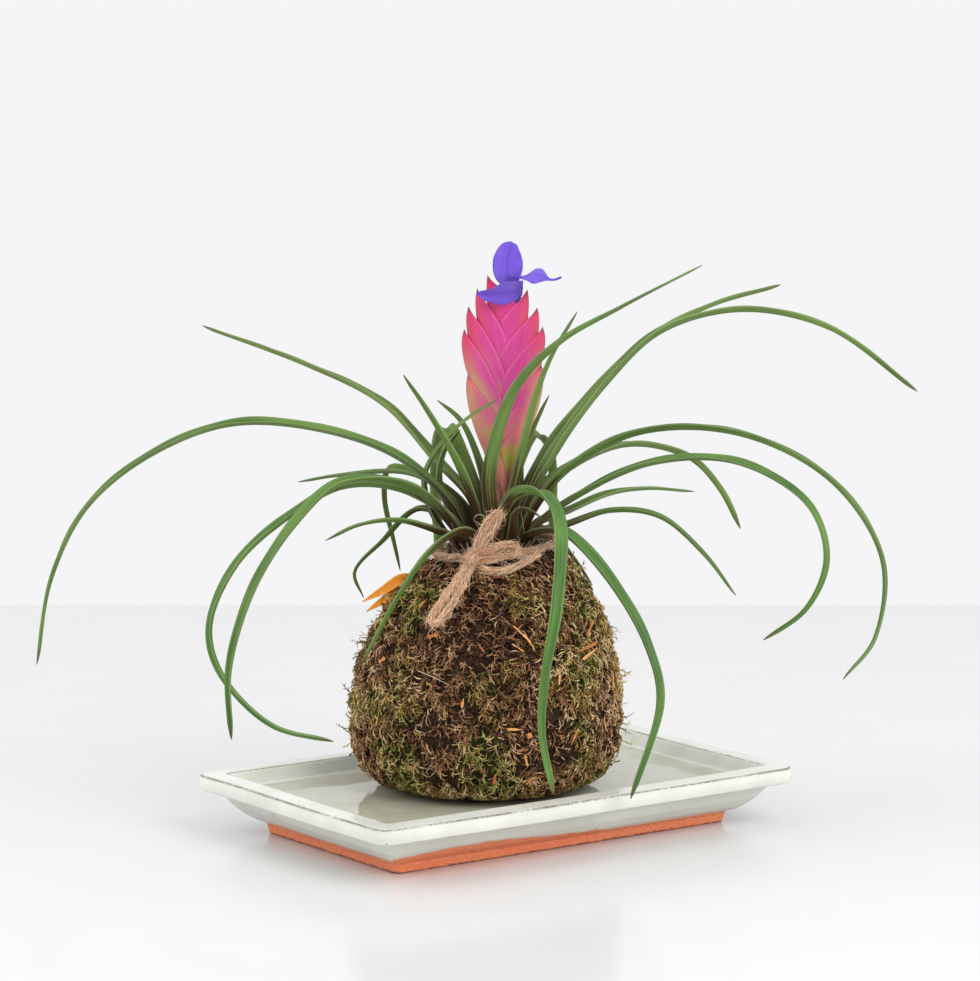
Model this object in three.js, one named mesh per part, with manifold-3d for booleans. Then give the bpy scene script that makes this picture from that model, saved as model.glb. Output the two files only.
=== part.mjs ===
// A kokedama: an air plant in flower growing from a moss ball tied with jute twine, on a glazed clay tray.
// Millimetres, +Z up. The tray's long side runs along X. The origin is on the table, under the middle of
// the whole outline, leaves included.

import * as THREE from "three";
import { mergeVertices } from "three/addons/utils/BufferGeometryUtils.js";
import Module from "manifold-3d";

const wasm = await Module();
wasm.setup();

// Where the tray stands, and where the plant stands on it. The plant's own frame has its origin on the
// table under the ball, x across the flat flower spike, y behind it and z up.
const trayPlace = [-13.4, -9.7];
const plantOnTray = [-4.3, 3.1];
const plantTurn = THREE.MathUtils.degToRad(-35.8);
const clearance = 0.3;

// Tray: each step of its section is [inset from the outline, height], from under the base, round the
// foot, the body and the rim, to the floor inside.
const trayLength = 213.6;
const trayWidth = 140;
const trayCorner = 8;
const trayPlainCorner = 2.5;
const trayCornerSteps = 3;
const trayFloor = 18.5;
const traySection = [
  [36, 10],
  [33.5, 0],
  [22.5, 0],
  [21.6, 4.6],
  [19.6, 5.2],
  [16, 7.4],
  [12, 11.2],
  [8.8, 15.8],
  [2, 17.6],
  [0.5, 18.3],
  [0, 21],
  [0.5, 23.9],
  [1.8, 24.5],
  [9.8, 24.8],
  [11.2, 24.1],
  [15, 19.3],
  [17.5, trayFloor],
];

// Ball: [radius, height above the tray floor] of the moss outside, and of the root ball inside it. Going
// up, the axis leans to the right by ballLean, and level rings tip up on the right by ballTip.
const ballHeight = 100;
const ballLean = 4.5;
const ballTip = 0.1;
const ballSides = 48;
const rootSides = 24;
const mossRows = 21;
const mossWall = 0.45;
const mossBed = 9;
const mossSection = [
  [29, 0],
  [40, 1.6],
  [49, 6],
  [54.5, 16],
  [56, 31],
  [54.8, 47],
  [50.6, 62],
  [44, 75.5],
  [36.5, 86.5],
  [29.5, 94.2],
  [24, 98.2],
  [22, 100],
  [19, 100.8],
  [15.8, 100.2],
];
const rootSection = [
  [26, 9.6],
  [38, 13],
  [44.5, 22],
  [46, 33],
  [43.5, 50],
  [36, 66],
  [26, 79],
  [18, 87],
  [14.9, 90],
  [14.9, 95.4],
];
// Relief of the moss: the height of its clumps and of single tufts, the share of points with a tuft, and
// the waves that add up to the clumps, as [waves round the ball, turn from one row to the next]. Along the
// moss section the relief rises as reliefRise times the square of the way, and falls to nothing at
// reliefEnd with the slope reliefFall.
const clumpHeight = 1.2;
const tuftHeight = 1.9;
const tuftShare = 0.25;
const clumpWaves = [[5, 3.1], [9, -2.3], [14, 1]];
const reliefRise = 6;
const reliefFall = 5;
const reliefEnd = 0.86;

// Crown: the short stem that the leaves grow from, as [radius, height above the tray floor].
const crownSides = 24;
const crownSection = [
  [14.4, 95.7],
  [14.4, 98.6],
  [12.4, 100.8],
  [9, 103.4],
  [5.6, 105.6],
  [3, 106.4],
];
// Rings of leaf roots, just under the crown's skin, which trims them: [distance from the crown's axis,
// height above the tray floor].
const leafRings = [
  [13.2, 99.5],
  [10.6, 101],
  [7.4, 103.2],
];

// Leaves: the ring and the direction that each grows from (0 is right, 90 is behind), its greatest
// width, and the way it takes through the plant's frame, from near the base to the tip. The way runs
// midway between the rib and the margins, which stand higher, as in a gutter.
const leaves = [
  {
    ring: 1, from: 177, width: 8,
    way: [[-12, -1, 136], [-35, -4, 158], [-68, -5, 170], [-105, -3, 172], [-140, 2, 158],
      [-167, 8, 135], [-183, 16, 103], [-190, 24, 65]],
  },
  {
    ring: 2, from: 158, width: 8,
    way: [[-5, 5, 138], [-20, 21, 153], [-42, 44, 174], [-76, 78, 187], [-124, 112, 200]],
  },
  {
    ring: 1, from: 199, width: 8,
    way: [[-13, -6, 132], [-35, -11, 146], [-58, -17, 148], [-79, -28, 138], [-101, -44, 120],
      [-112, -52, 95], [-107, -57, 76], [-86, -63, 56], [-61, -66, 50]],
  },
  {
    ring: 0, from: 206, width: 8,
    way: [[-12, -12, 129], [-31, -23, 149], [-59, -36, 152], [-77, -46, 137], [-94, -60, 111],
      [-103, -68, 80], [-102, -72, 52]],
  },
  { ring: 1, from: 140, width: 6, way: [[-11, 14, 137], [-31, 26, 147], [-61, 42, 144], [-80, 54, 139]] },
  {
    ring: 0, from: 126, width: 7,
    way: [[-10, 20, 134], [-28, 33, 145], [-41, 39, 147], [-43, 41, 135], [-39, 40, 116], [-36, 38, 103]],
  },
  {
    ring: 0, from: 154, width: 6,
    way: [[-14, 9, 130], [-28, 13, 134], [-43, 15, 120], [-55, 16, 106], [-51, 16, 95]],
  },
  {
    ring: 0, from: 230, width: 6,
    way: [[-8, -15, 124], [-18, -20, 129], [-35, -26, 135], [-51, -32, 134], [-65, -38, 128]],
  },
  {
    ring: 0, from: 246, width: 7,
    way: [[-3, -18, 125], [-10, -23, 130], [-24, -29, 121], [-37, -33, 102], [-51, -36, 76]],
  },
  {
    ring: 2, from: 214, width: 7,
    way: [[-4.2, -6.8, 138], [-13, -15, 161], [-25, -27, 183], [-33, -36, 196]],
  },
  { ring: 2, from: 114, width: 6, way: [[0.5, 9.8, 142], [-3, 16.4, 155], [-10, 25, 169], [-20, 32, 177]] },
  {
    ring: 0, from: 170, width: 5,
    way: [[-17, 3, 126], [-23, 5, 136], [-25, 5.4, 147], [-21, 0.6, 158], [-10, -9, 172], [6, -18, 184]],
  },
  { ring: 1, from: 158.5, width: 7, way: [[-13, 8, 132], [-19, 9, 145], [-17, 11, 158], [-10, 13, 167]] },
  {
    ring: 0, from: 106, width: 8,
    way: [[-5, 22, 141], [-16, 38, 165], [-21, 62, 143], [-20, 74, 112], [-17, 80, 66]],
  },
  {
    ring: 1, from: 96, width: 7,
    way: [[5, 20, 147], [5, 36, 166], [5, 60, 172], [5, 88, 152], [4, 108, 110]],
  },
  {
    ring: 1, from: 58, width: 7,
    way: [[14, 15.6, 144], [13, 27, 167], [11, 46, 186], [13, 72, 196], [13, 100, 194]],
  },
  {
    ring: 2, from: 270, width: 7,
    way: [[2.6, -10.6, 138], [2, -12.4, 153], [12, -18, 187], [30, -28, 208], [55, -42, 224],
      [87, -62, 243]],
  },
  {
    ring: 2, from: 322, width: 7,
    way: [[11, -6, 140], [14, -8, 153], [20, -13, 180], [27, -16, 200], [38, -20, 220]],
  },
  { ring: 2, from: 58, width: 5, way: [[10.6, 10, 139], [16, 12, 156], [23, 14, 173], [27, 16, 181]] },
  {
    ring: 2, from: 20, width: 8,
    way: [[15.8, 5.6, 139], [28, 18, 161], [49, 36, 184], [70, 54, 202], [97, 76, 213], [129, 102, 219]],
  },
  {
    ring: 1, from: 354, width: 8,
    way: [[17, -2, 136], [31, 0, 163], [50, 5, 188], [73, 12, 209], [107, 22, 217], [145, 34, 208],
      [184, 46, 179]],
  },
  {
    ring: 1, from: 332, width: 8,
    way: [[21, -8, 138], [35, -12, 155], [64, -20, 171], [105, -34, 172], [142, -50, 154], [161, -60, 124],
      [158, -64, 92], [145, -64, 75]],
  },
  {
    ring: 0, from: 336, width: 7,
    way: [[22, -10, 131], [38, -17, 144], [68, -34, 160], [103, -56, 163], [130, -76, 148],
      [136, -86, 128], [128, -90, 109], [111, -90, 96]],
  },
  {
    ring: 1, from: 26, width: 7,
    way: [[21, 8, 139], [36, 17, 151], [61, 38, 158], [88, 60, 149], [102, 72, 133], [111, 78, 115]],
  },
  {
    ring: 0, from: 32, width: 6,
    way: [[21.6, 10, 127.6], [34, 16, 132], [53, 30, 138], [70, 44, 138], [90, 60, 134]],
  },
  {
    ring: 0, from: 0, width: 6,
    way: [[21.6, 0, 126], [33, -1, 129], [52, -5, 136], [73, -10, 134], [91, -16, 119], [104, -20, 102]],
  },
  {
    ring: 0, from: 316, width: 7,
    way: [[15, -11, 124], [24, -20, 130], [33, -27, 130], [50, -37, 114], [66, -48, 88], [72, -54, 65],
      [62, -60, 26]],
  },
  {
    ring: 0, from: 278, width: 9,
    way: [[8, -15, 131], [13, -22, 144], [23, -36, 148], [30, -54, 139], [29, -70, 108], [24, -75, 77],
      [23, -76, 55], [28, -76, 30]],
  },
  {
    ring: 0, from: 297, width: 6,
    way: [[12, -18, 129], [13, -21, 137], [16, -22, 139], [20, -24, 138], [24, -25, 135]],
  },
  { ring: 0, from: 55, width: 6, way: [[17, 14, 125], [27, 22, 123], [38, 30, 110], [46, 36, 97]] },
  {
    ring: 0, from: 78, width: 8,
    way: [[9, 19, 138], [20, 36, 162], [27, 48, 156], [29, 60, 131], [27, 74, 82]],
  },
];
const leafStepLength = 11;
const leafLeastSteps = 4;
const leafFold = 0.55;
const leafThickness = 1;
const leafEdge = 0.8;
const leafNeck = 2.8;
const leafNeckLength = 26;
const leafTip = 0.9;
const leafTaper = 1.8;
const leafBelly = 0.8;
const gutterHub = 4;

// Flower spike: its axis, its stalk, which stands on the crown and bends at [distance from the axis,
// height above the crown], and the tip of each bract as [distance from the axis, height].
const spikeAxis = [8, 0];
const stalkRadius = 2.1;
const stalkSteps = 9;
const stalkSeat = 0.7;
const stalkBends = [[-1, 14], [0, 40]];
const stalkTop = 205;
const spikeFoot = 141;
const bractSteps = 7;
const bractLength = 46;
const bractThickness = 7.6;
const bractThinning = 0.3;
const bractEdge = 0.6;
const bractWrap = 4.5;
const bractBulge = 0.7;
const bractFullReach = 12;
const marginSlant = 0.85;
const marginBend = 100;
const marginSpread = 3;
const bractKeel = [[0.06, 1], [0.52, 0.72], [0.9, 0.36], [1, 0.12], [1, 0]];
const bractTips = [
  [-5, 166],
  [7, 170],
  [-10, 181],
  [13, 186],
  [-15.7, 192],
  [16.5, 196],
  [-17.5, 210.5],
  [17.2, 211.5],
  [-15.6, 220],
  [14.7, 219.5],
  [-11.8, 227.5],
  [10.4, 227],
  [-7, 232.5],
];

// Flower: the tube, and the rib of each petal with its width and the way its blade faces.
const petalThickness = 0.75;
const bladeFold = 0.32;
const bladeSteps = 8;
const bladeTip = 0.45;
const bladeStart = 0.1;
const bladeSpan = 0.88;
const bladeBelly = 0.85;
const stemSides = 10;
const flowerTube = [[13.4, -1, 217], [14, -1.5, 223], [14.7, -2, 228.5]];
const flowerTubeRadius = 1.7;
const flowerTubeSteps = 4;
const petals = [
  {
    width: 13, side: [1, 0.1, 0],
    way: [[14.4, -1.6, 227], [11, -0.2, 231.6], [9.6, 0.5, 239], [12.6, 2, 246.4]],
  },
  {
    width: 11, side: [0.1, 0.8, 0.55],
    way: [[14.4, -2.2, 228], [18.8, -5, 231.8], [23.6, -7, 233.6], [31.2, -9.5, 232.9]],
  },
  {
    width: 12, side: [0.25, -0.5, 0.76],
    way: [[14.6, -2.2, 228], [9.7, -7, 227.2], [4, -10, 226.6], [-2.8, -12, 228]],
  },
];

// Twine: the collar round the neck of the ball, the knot in front, and the loops and tails of the bow.
const twineRadius = 1.35;
const twineSides = 6;
const collarRadius = 25;
const collarHeight = 100.1;
const collarSteps = 36;
const collarOverlap = 1;
const strandSteps = 2.5;
const knotPlace = [-4.8, -28, 118.6];
const knotSize = [4.4, 4.4, 3.1];
const knotFacets = 1;
const bow = [
  [[-4, -28.6, 118.4], [-11, -37, 109], [-17.5, -42.5, 102], [-22.4, -44.5, 97.5], [-23.4, -46.2, 95],
    [-20, -45.8, 96.2], [-13, -41, 105], [-5, -30, 117.6]],
  [[-5.5, -28, 118], [-2, -28, 125], [3, -27, 133], [6.5, -26, 137.6], [8, -27, 136], [5.2, -28.5, 129],
    [0.4, -30, 122], [-4.4, -29, 118]],
  [[-4.6, -28, 119], [2.5, -31, 121.6], [9.3, -30, 125], [14, -28.6, 124], [13.6, -28.8, 121.4],
    [8.4, -31, 119.6], [-4.6, -29, 118.4]],
  [[-5, -28, 118], [2.3, -32, 116.6], [9.7, -31.4, 117], [16.7, -28.6, 118.6], [22.6, -25, 121]],
];

// Ornament: two pointed orange blades pushed into the moss on the left shoulder.
const bladeThickness = 0.8;
const orangeSide = [0.25, 0.75, 0.6];
const orangeRoot = [-26, 8.5, 103.5];
const orangeBlades = [
  { width: 6.5, side: orangeSide, way: [orangeRoot, [-34, 7, 107], [-42, 5.5, 103], [-51.5, 4, 96.8]] },
  { width: 5.5, side: orangeSide, way: [orangeRoot, [-35, 6, 102.5], [-42, 4, 98.6], [-49.3, 2.5, 93]] },
];

const clay = new THREE.MeshStandardMaterial({ color: 0xd9dccd, roughness: 0.25 });
const moss = new THREE.MeshStandardMaterial({ color: 0x5a4c2c, roughness: 0.95 });
const soil = new THREE.MeshStandardMaterial({ color: 0x2b2019, roughness: 1 });
const stemSkin = new THREE.MeshStandardMaterial({ color: 0x4d4030, roughness: 0.8 });
const leafSkin = new THREE.MeshStandardMaterial({ color: 0x4f7a34, roughness: 0.5 });
const bractSkin = new THREE.MeshStandardMaterial({ color: 0xd9528f, roughness: 0.5 });
const petalSkin = new THREE.MeshStandardMaterial({ color: 0x6047c9, roughness: 0.55 });
const jute = new THREE.MeshStandardMaterial({ color: 0xb08a67, roughness: 0.95 });
const orangePaper = new THREE.MeshStandardMaterial({ color: 0xf08a10, roughness: 0.6 });

// Points nearer than this are one point when a geometry becomes a solid.
const mergeDistance = 1e-4;
// A direction that no tube of the model runs along, from which its section is set square.
const tubeAcross = [0.3, 1, 0.2];

const vector = (p) => new THREE.Vector3(...p);

// Closed skin over a row of rings with equal numbers of points. The end rings are closed by fans from
// the point numbered hub, and the faces are turned outwards.
function loft(rings, hub = 0) {
  const sides = rings[0].length;
  const corners = [];
  for (let r = 0; r + 1 < rings.length; r++) {
    for (let i = 0; i < sides; i++) {
      const j = (i + 1) % sides;
      corners.push(rings[r][i], rings[r][j], rings[r + 1][j]);
      corners.push(rings[r][i], rings[r + 1][j], rings[r + 1][i]);
    }
  }
  const last = rings[rings.length - 1];
  for (let i = 1; i + 1 < sides; i++) {
    const a = (hub + i) % sides;
    const b = (hub + i + 1) % sides;
    corners.push(rings[0][hub], rings[0][b], rings[0][a]);
    corners.push(last[hub], last[a], last[b]);
  }
  let volume = 0;
  for (let i = 0; i < corners.length; i += 3) {
    volume += corners[i].dot(new THREE.Vector3().crossVectors(corners[i + 1], corners[i + 2]));
  }
  if (volume < 0) corners.reverse();
  return new THREE.BufferGeometry().setFromPoints(corners);
}

// A manifold-3d solid of a closed geometry, and the geometry of a solid.
function solidOf(geometry) {
  const merged = mergeVertices(geometry, mergeDistance);
  const triVerts = new Uint32Array(merged.index.array);
  const vertProperties = merged.attributes.position.array;
  return new wasm.Manifold(new wasm.Mesh({ numProp: 3, vertProperties, triVerts }));
}

function geometryOf(solid) {
  const mesh = solid.getMesh();
  const geometry = new THREE.BufferGeometry();
  geometry.setAttribute("position", new THREE.BufferAttribute(mesh.vertProperties, 3));
  return geometry.setIndex(new THREE.BufferAttribute(mesh.triVerts, 1));
}

function union(geometries) {
  return geometries.map(solidOf).reduce((sum, solid) => sum.add(solid));
}

// Rings of a section carried along a curve. section(t) gives [across, up] points, and the first across
// direction is turned along the curve without spin.
function sweep(curve, steps, section, across) {
  const rings = [];
  const side = across.clone();
  for (let i = 0; i <= steps; i++) {
    const t = i / steps;
    const along = curve.getTangentAt(t);
    side.addScaledVector(along, -side.dot(along)).normalize();
    const up = new THREE.Vector3().crossVectors(side, along);
    const centre = curve.getPointAt(t);
    rings.push(
      section(t).map(([u, v]) => centre.clone().addScaledVector(side, u).addScaledVector(up, v)),
    );
  }
  return rings;
}

// Outline of the tray, moved in by inset, with rounded corners.
function trayRing([inset, height]) {
  const radius = Math.max(trayCorner - inset, trayPlainCorner);
  const x = trayLength / 2 - inset - radius;
  const y = trayWidth / 2 - inset - radius;
  const centres = [[x, y], [-x, y], [-x, -y], [x, -y]];
  const points = [];
  centres.forEach(([cx, cy], quarter) => {
    for (let i = 0; i <= trayCornerSteps; i++) {
      const a = ((quarter + i / trayCornerSteps) * Math.PI) / 2;
      points.push(new THREE.Vector3(cx + radius * Math.cos(a), cy + radius * Math.sin(a), height));
    }
  });
  return points;
}

// A point beside the ball's axis, which leans, on a ring that tips with its height above the tray floor.
function besideAxis(radius, height, angle) {
  const share = height / ballHeight;
  const x = ballLean * share ** 2 + radius * Math.cos(angle);
  const z = trayFloor + clearance + height + ballTip * share ** 4 * x;
  return new THREE.Vector3(x, radius * Math.sin(angle), z);
}

// A ring of points beside the ball's axis. relief(angle, number) is added to its radius.
function ballRing(radius, height, sides, relief = () => 0) {
  return Array.from({ length: sides }, (_, i) => {
    const angle = (2 * Math.PI * i) / sides;
    return besideAxis(radius + relief(angle, i), height, angle);
  });
}

// A repeatable number from 0 to 1 for each pair of whole numbers.
function scatter(i, j) {
  const wave = Math.sin(i * 127.1 + j * 311.7) * 43758.5453;
  return wave - Math.floor(wave);
}

// The moss: a lumpy skin outside, and the hollow that holds the root ball. The relief fades away under
// the ball and at the neck, where the twine lies.
function mossShell() {
  const outline = new THREE.SplineCurve(mossSection.map(([r, h]) => new THREE.Vector2(r, h)));
  const rings = [];
  for (let row = 0; row <= mossRows; row++) {
    const t = row / mossRows;
    const place = outline.getPointAt(t);
    const fade = Math.min(1, reliefRise * t * t, reliefFall * Math.max(0, reliefEnd - t));
    const relief = (angle, i) => {
      const clump = clumpWaves.reduce((sum, [waves, turn]) => sum + Math.sin(waves * angle + turn * row), 0);
      const tuft = scatter(i, row) < tuftShare ? tuftHeight : 0;
      return fade * ((clumpHeight * clump) / clumpWaves.length + tuft);
    };
    rings.push(ballRing(place.x, place.y, ballSides, relief));
  }
  const inside = [...rootSection].reverse();
  inside.forEach(([r, h]) => rings.push(ballRing(r + mossWall, h, ballSides)));
  const [bedRadius] = rootSection[0];
  rings.push(ballRing(bedRadius - mossWall, mossBed, ballSides));
  const slots = orangeBlades.map((b) => solidOf(blade(b, bladeThickness, clearance)));
  return geometryOf(slots.reduce((rest, slot) => rest.subtract(slot), solidOf(loft(rings))));
}

function rootBall() {
  return loft(rootSection.map(([r, h]) => ballRing(r, h, rootSides)));
}

// The crown, or with grow the room that it takes up, which every leaf ends at.
function crown(grow = 0) {
  return loft(crownSection.map(([r, h]) => ballRing(r + grow, h + grow, crownSides)));
}

// Width of a leaf along its length, as a share of its greatest width: a narrow neck, then a long taper.
function leafWidth(t, length, width) {
  const neck = Math.min(1, (t * length) / leafNeckLength);
  const swell = leafNeck + (width - leafNeck) * neck * (2 - neck);
  return Math.max(leafTip, Math.min(swell, width * (1 - t ** leafTaper) ** leafBelly));
}

const crownRoom = solidOf(crown(clearance));

function leaf({ ring, from, width, way }) {
  const [radius, height] = leafRings[ring];
  const angle = THREE.MathUtils.degToRad(from);
  const base = besideAxis(radius, height, angle);
  const curve = new THREE.CatmullRomCurve3([base, ...way.map(vector)], false, "centripetal");
  const length = curve.getLength();
  const section = (t) => {
    const half = leafWidth(t, length, width) / 2;
    const rise = half * leafFold;
    return gutter(half, rise, leafThickness, leafEdge).map(([u, v]) => [u, v - rise / 2]);
  };
  const across = new THREE.Vector3(Math.sin(angle), -Math.cos(angle), 0);
  const steps = Math.round(length / leafStepLength) + leafLeastSteps;
  const whole = loft(sweep(curve, steps, section, across), gutterHub);
  return geometryOf(solidOf(whole).subtract(crownRoom));
}

// Section of a leaf or petal: a shallow V, thickest at the rib. Its caps fan out from the keel.
function gutter(half, rise, thickness, edge) {
  return [
    [-half, rise],
    [0, 0],
    [half, rise],
    [half, rise - edge],
    [0, -thickness],
    [-half, rise - edge],
  ];
}

// One bract of the flat spike: a keel outside, and two flanks that end in a margin. Going down from the
// tip, the margin slants in towards the stalk and may cross to its other side. Lower bracts are thicker,
// so each margin stands over the bract above it.
function bract([reach, top], number) {
  const [x0, y0] = spikeAxis;
  const drop = top - Math.max(spikeFoot, top - bractLength);
  const keel = new THREE.SplineCurve(
    bractKeel.map(([x, z]) => new THREE.Vector2(x * reach, top - z * drop)),
  );
  const slimness = Math.min(1, Math.abs(reach) / bractFullReach);
  const full = (bractThickness - bractThinning * number) * slimness;
  const rings = [];
  for (let i = 0; i <= bractSteps; i++) {
    const t = i / bractSteps;
    const k = keel.getPoint(t);
    const down = top - k.y;
    const inward = Math.min(marginSlant * down * (1 - down / marginBend), Math.abs(reach) + bractWrap);
    const m = new THREE.Vector2(reach - Math.sign(reach) * (inward + bractEdge), k.y);
    m.x *= Math.min(1, marginSpread * t);
    const middle = k.clone().lerp(m, 0.5);
    const half = (full / 2) * (1 - t ** 3) + bractEdge / 2;
    const bulge = half * bractBulge;
    const at = (p, y) => new THREE.Vector3(x0 + p.x, y0 + y, p.y);
    rings.push([
      at(k, -bractEdge / 2),
      at(middle, -bulge),
      at(m, -half),
      at(m, half),
      at(middle, bulge),
      at(k, bractEdge / 2),
    ]);
  }
  return loft(rings);
}

function disc(sides, radius) {
  return Array.from({ length: sides }, (_, i) => {
    const a = (2 * Math.PI * i) / sides;
    return [radius * Math.cos(a), radius * Math.sin(a)];
  });
}

function tube(points, radius, sides, steps) {
  const curve = new THREE.CatmullRomCurve3(points.map(vector), false, "centripetal");
  return loft(sweep(curve, steps, () => disc(sides, radius), vector(tubeAcross)));
}

function flowerSpike() {
  const [x, y] = spikeAxis;
  const [, crownTop] = crownSection.at(-1);
  const foot = besideAxis(0, crownTop + stalkSeat, 0);
  const bends = stalkBends.map(([aside, rise]) => [x + aside, y, foot.z + rise]);
  const stalk = tube([foot.toArray(), ...bends, [x, y, stalkTop]], stalkRadius, stemSides, stalkSteps);
  const joined = union([stalk, ...bractTips.map(bract)]);
  const socket = tube(flowerTube, flowerTubeRadius + clearance, stemSides, flowerTubeSteps);
  return geometryOf(joined.subtract(solidOf(socket)));
}

// A thin pointed blade along a rib: its width follows a part of a sine wave, and is greatest past the
// middle. grow makes the blade larger all round.
function blade({ width, side, way }, thickness, grow = 0) {
  const curve = new THREE.CatmullRomCurve3(way.map(vector), false, "centripetal");
  const section = (t) => {
    const phase = bladeStart + bladeSpan * t ** bladeBelly;
    const half = Math.max(bladeTip, (width / 2) * Math.sin(Math.PI * phase));
    const rise = half * bladeFold;
    return gutter(half + grow, rise + grow, thickness + grow, thickness + 2 * grow);
  };
  return loft(sweep(curve, bladeSteps, section, vector(side)), gutterHub);
}

function flower() {
  const stem = tube(flowerTube, flowerTubeRadius, stemSides, flowerTubeSteps);
  return geometryOf(union([stem, ...petals.map((petal) => blade(petal, petalThickness))]));
}

function ornament() {
  return geometryOf(union(orangeBlades.map((b) => blade(b, bladeThickness))));
}

// The twine: two half rings that overlap at their ends, the knot, and the strands of the bow.
function twine() {
  const half = collarSteps / 2;
  const halfRing = (start) => {
    const points = Array.from({ length: half + 1 + 2 * collarOverlap }, (_, i) => {
      const angle = (2 * Math.PI * (start + i - collarOverlap)) / collarSteps;
      return besideAxis(collarRadius, collarHeight, angle).toArray();
    });
    return tube(points, twineRadius, twineSides, half);
  };
  const knot = new THREE.IcosahedronGeometry(1, knotFacets);
  knot.deleteAttribute("normal");
  knot.deleteAttribute("uv");
  knot.scale(...knotSize).translate(...knotPlace);
  const strands = bow.map((way) => tube(way, twineRadius, twineSides, strandSteps * way.length));
  return geometryOf(union([halfRing(0), halfRing(half), knot, ...strands]));
}

function mesh(name, geometry, material) {
  const made = new THREE.Mesh(geometry, material);
  made.name = name;
  return made;
}

const plant = new THREE.Group();
plant.position.set(trayPlace[0] + plantOnTray[0], trayPlace[1] + plantOnTray[1], 0);
plant.rotation.z = plantTurn;
plant.add(mesh("moss_layer", mossShell(), moss));
plant.add(mesh("root_ball", rootBall(), soil));
plant.add(mesh("crown_stem", crown(), stemSkin));
plant.add(mesh("jute_twine", twine(), jute));
plant.add(mesh("flower_spike", flowerSpike(), bractSkin));
plant.add(mesh("flower", flower(), petalSkin));
plant.add(mesh("orange_ornament", ornament(), orangePaper));
leaves.forEach((record, i) => {
  plant.add(mesh(`leaf_${String(i + 1).padStart(2, "0")}`, leaf(record), leafSkin));
});

const tray = mesh("tray", loft(traySection.map(trayRing)), clay);
tray.position.set(trayPlace[0], trayPlace[1], 0);

const kokedama = new THREE.Group();
kokedama.add(tray, plant);
export default kokedama;
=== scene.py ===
import bpy
import numpy as np
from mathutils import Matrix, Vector


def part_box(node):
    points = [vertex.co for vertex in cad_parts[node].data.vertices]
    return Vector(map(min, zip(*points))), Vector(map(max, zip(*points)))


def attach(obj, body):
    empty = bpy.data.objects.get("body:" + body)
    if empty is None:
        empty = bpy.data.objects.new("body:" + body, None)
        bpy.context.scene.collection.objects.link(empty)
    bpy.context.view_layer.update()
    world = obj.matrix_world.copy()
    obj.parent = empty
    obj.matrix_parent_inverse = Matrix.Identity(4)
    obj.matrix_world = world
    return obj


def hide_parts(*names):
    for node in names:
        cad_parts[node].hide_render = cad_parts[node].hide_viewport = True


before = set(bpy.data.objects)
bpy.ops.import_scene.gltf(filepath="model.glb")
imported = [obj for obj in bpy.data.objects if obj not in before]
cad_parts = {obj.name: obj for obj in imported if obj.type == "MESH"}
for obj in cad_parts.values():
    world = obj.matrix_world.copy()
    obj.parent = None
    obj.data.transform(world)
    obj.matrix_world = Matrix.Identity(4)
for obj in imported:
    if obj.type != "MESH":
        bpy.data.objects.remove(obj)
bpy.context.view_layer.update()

# A kokedama: an air plant in flower in a moss ball tied with jute, on a glazed clay tray.
# Pieces are worked out in millimetres in the plant's own frame (x across the flat flower spike, y behind
# it, z up, the ball's axis at x = y = 0 on the table), and toRow turns them into the row's metres.
mm = 0.001

plant = {
    "onTray": (-4.3, 3.1),      # the ball's axis, from the tray's middle
    "turn": -35.8,              # degrees
    "floor": 18.8,              # height of the lowest moss
    "ballHeight": 100,
    "lean": 4.5,                # how far the axis leans to the right at the top of the ball
    "tip": 0.1,                 # how much level rings tip up on the right there
}

trayLow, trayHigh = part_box("tray")
trayMiddle = np.array((trayLow + trayHigh) / 2)
turn = np.radians(plant["turn"])
plantAxes = np.array([[np.cos(turn), -np.sin(turn), 0], [np.sin(turn), np.cos(turn), 0], [0, 0, 1]])
plantOrigin = trayMiddle * (1, 1, 0) + np.array([*plant["onTray"], 0]) * mm


def toRow(points):
    # the plant's millimetres, turned and moved to the row's metres
    return np.asarray(points, float) * mm @ plantAxes.T + plantOrigin


# Shapes


def unit(vectors):
    return vectors / np.maximum(np.linalg.norm(vectors, axis=-1, keepdims=True), 1e-9)


def smoothstep(low, high, values):
    # 0 below low, 1 above high, and 3 s^2 - 2 s^3 of the share s between them
    share = np.clip((np.asarray(values, float) - low) / (high - low), 0, 1)
    return share * share * (3 - 2 * share)


def lengthAlong(line):
    return np.concatenate([[0], np.cumsum(np.linalg.norm(np.diff(line, axis=0), axis=1))])


def smoothWay(points, count):
    # a curve through the points, cubic between each two, with speeds that follow the square root of the
    # gaps (centripetal Catmull-Rom), then count points at equal steps along it
    p = np.asarray(points, float)
    p = np.vstack([2 * p[0] - p[1], p, 2 * p[-1] - p[-2]])
    gap = np.sqrt(np.linalg.norm(np.diff(p, axis=0), axis=1))[:, None]
    g0, g1, g2 = gap[:-2], gap[1:-1], gap[2:]
    a, b, c, d = p[:-3], p[1:-2], p[2:-1], p[3:]
    leave = ((b - a) / g0 - (c - a) / (g0 + g1) + (c - b) / g1) * g1
    reach = ((c - b) / g1 - (d - b) / (g1 + g2) + (d - c) / g2) * g1
    b, c, leave, reach = (x[:, None, :] for x in (b, c, leave, reach))
    u = np.linspace(0, 1, 24, endpoint=False)[None, :, None]
    fine = (2 * u**3 - 3 * u**2 + 1) * b + (3 * u**2 - 2 * u**3) * c
    fine = fine + (u**3 - 2 * u**2 + u) * leave + (u**3 - u**2) * reach
    fine = np.vstack([fine.reshape(-1, p.shape[1]), p[-2]])
    way = lengthAlong(fine)
    at = np.linspace(0, way[-1], count)
    return np.stack([np.interp(at, way, column) for column in fine.T], axis=1)


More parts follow.
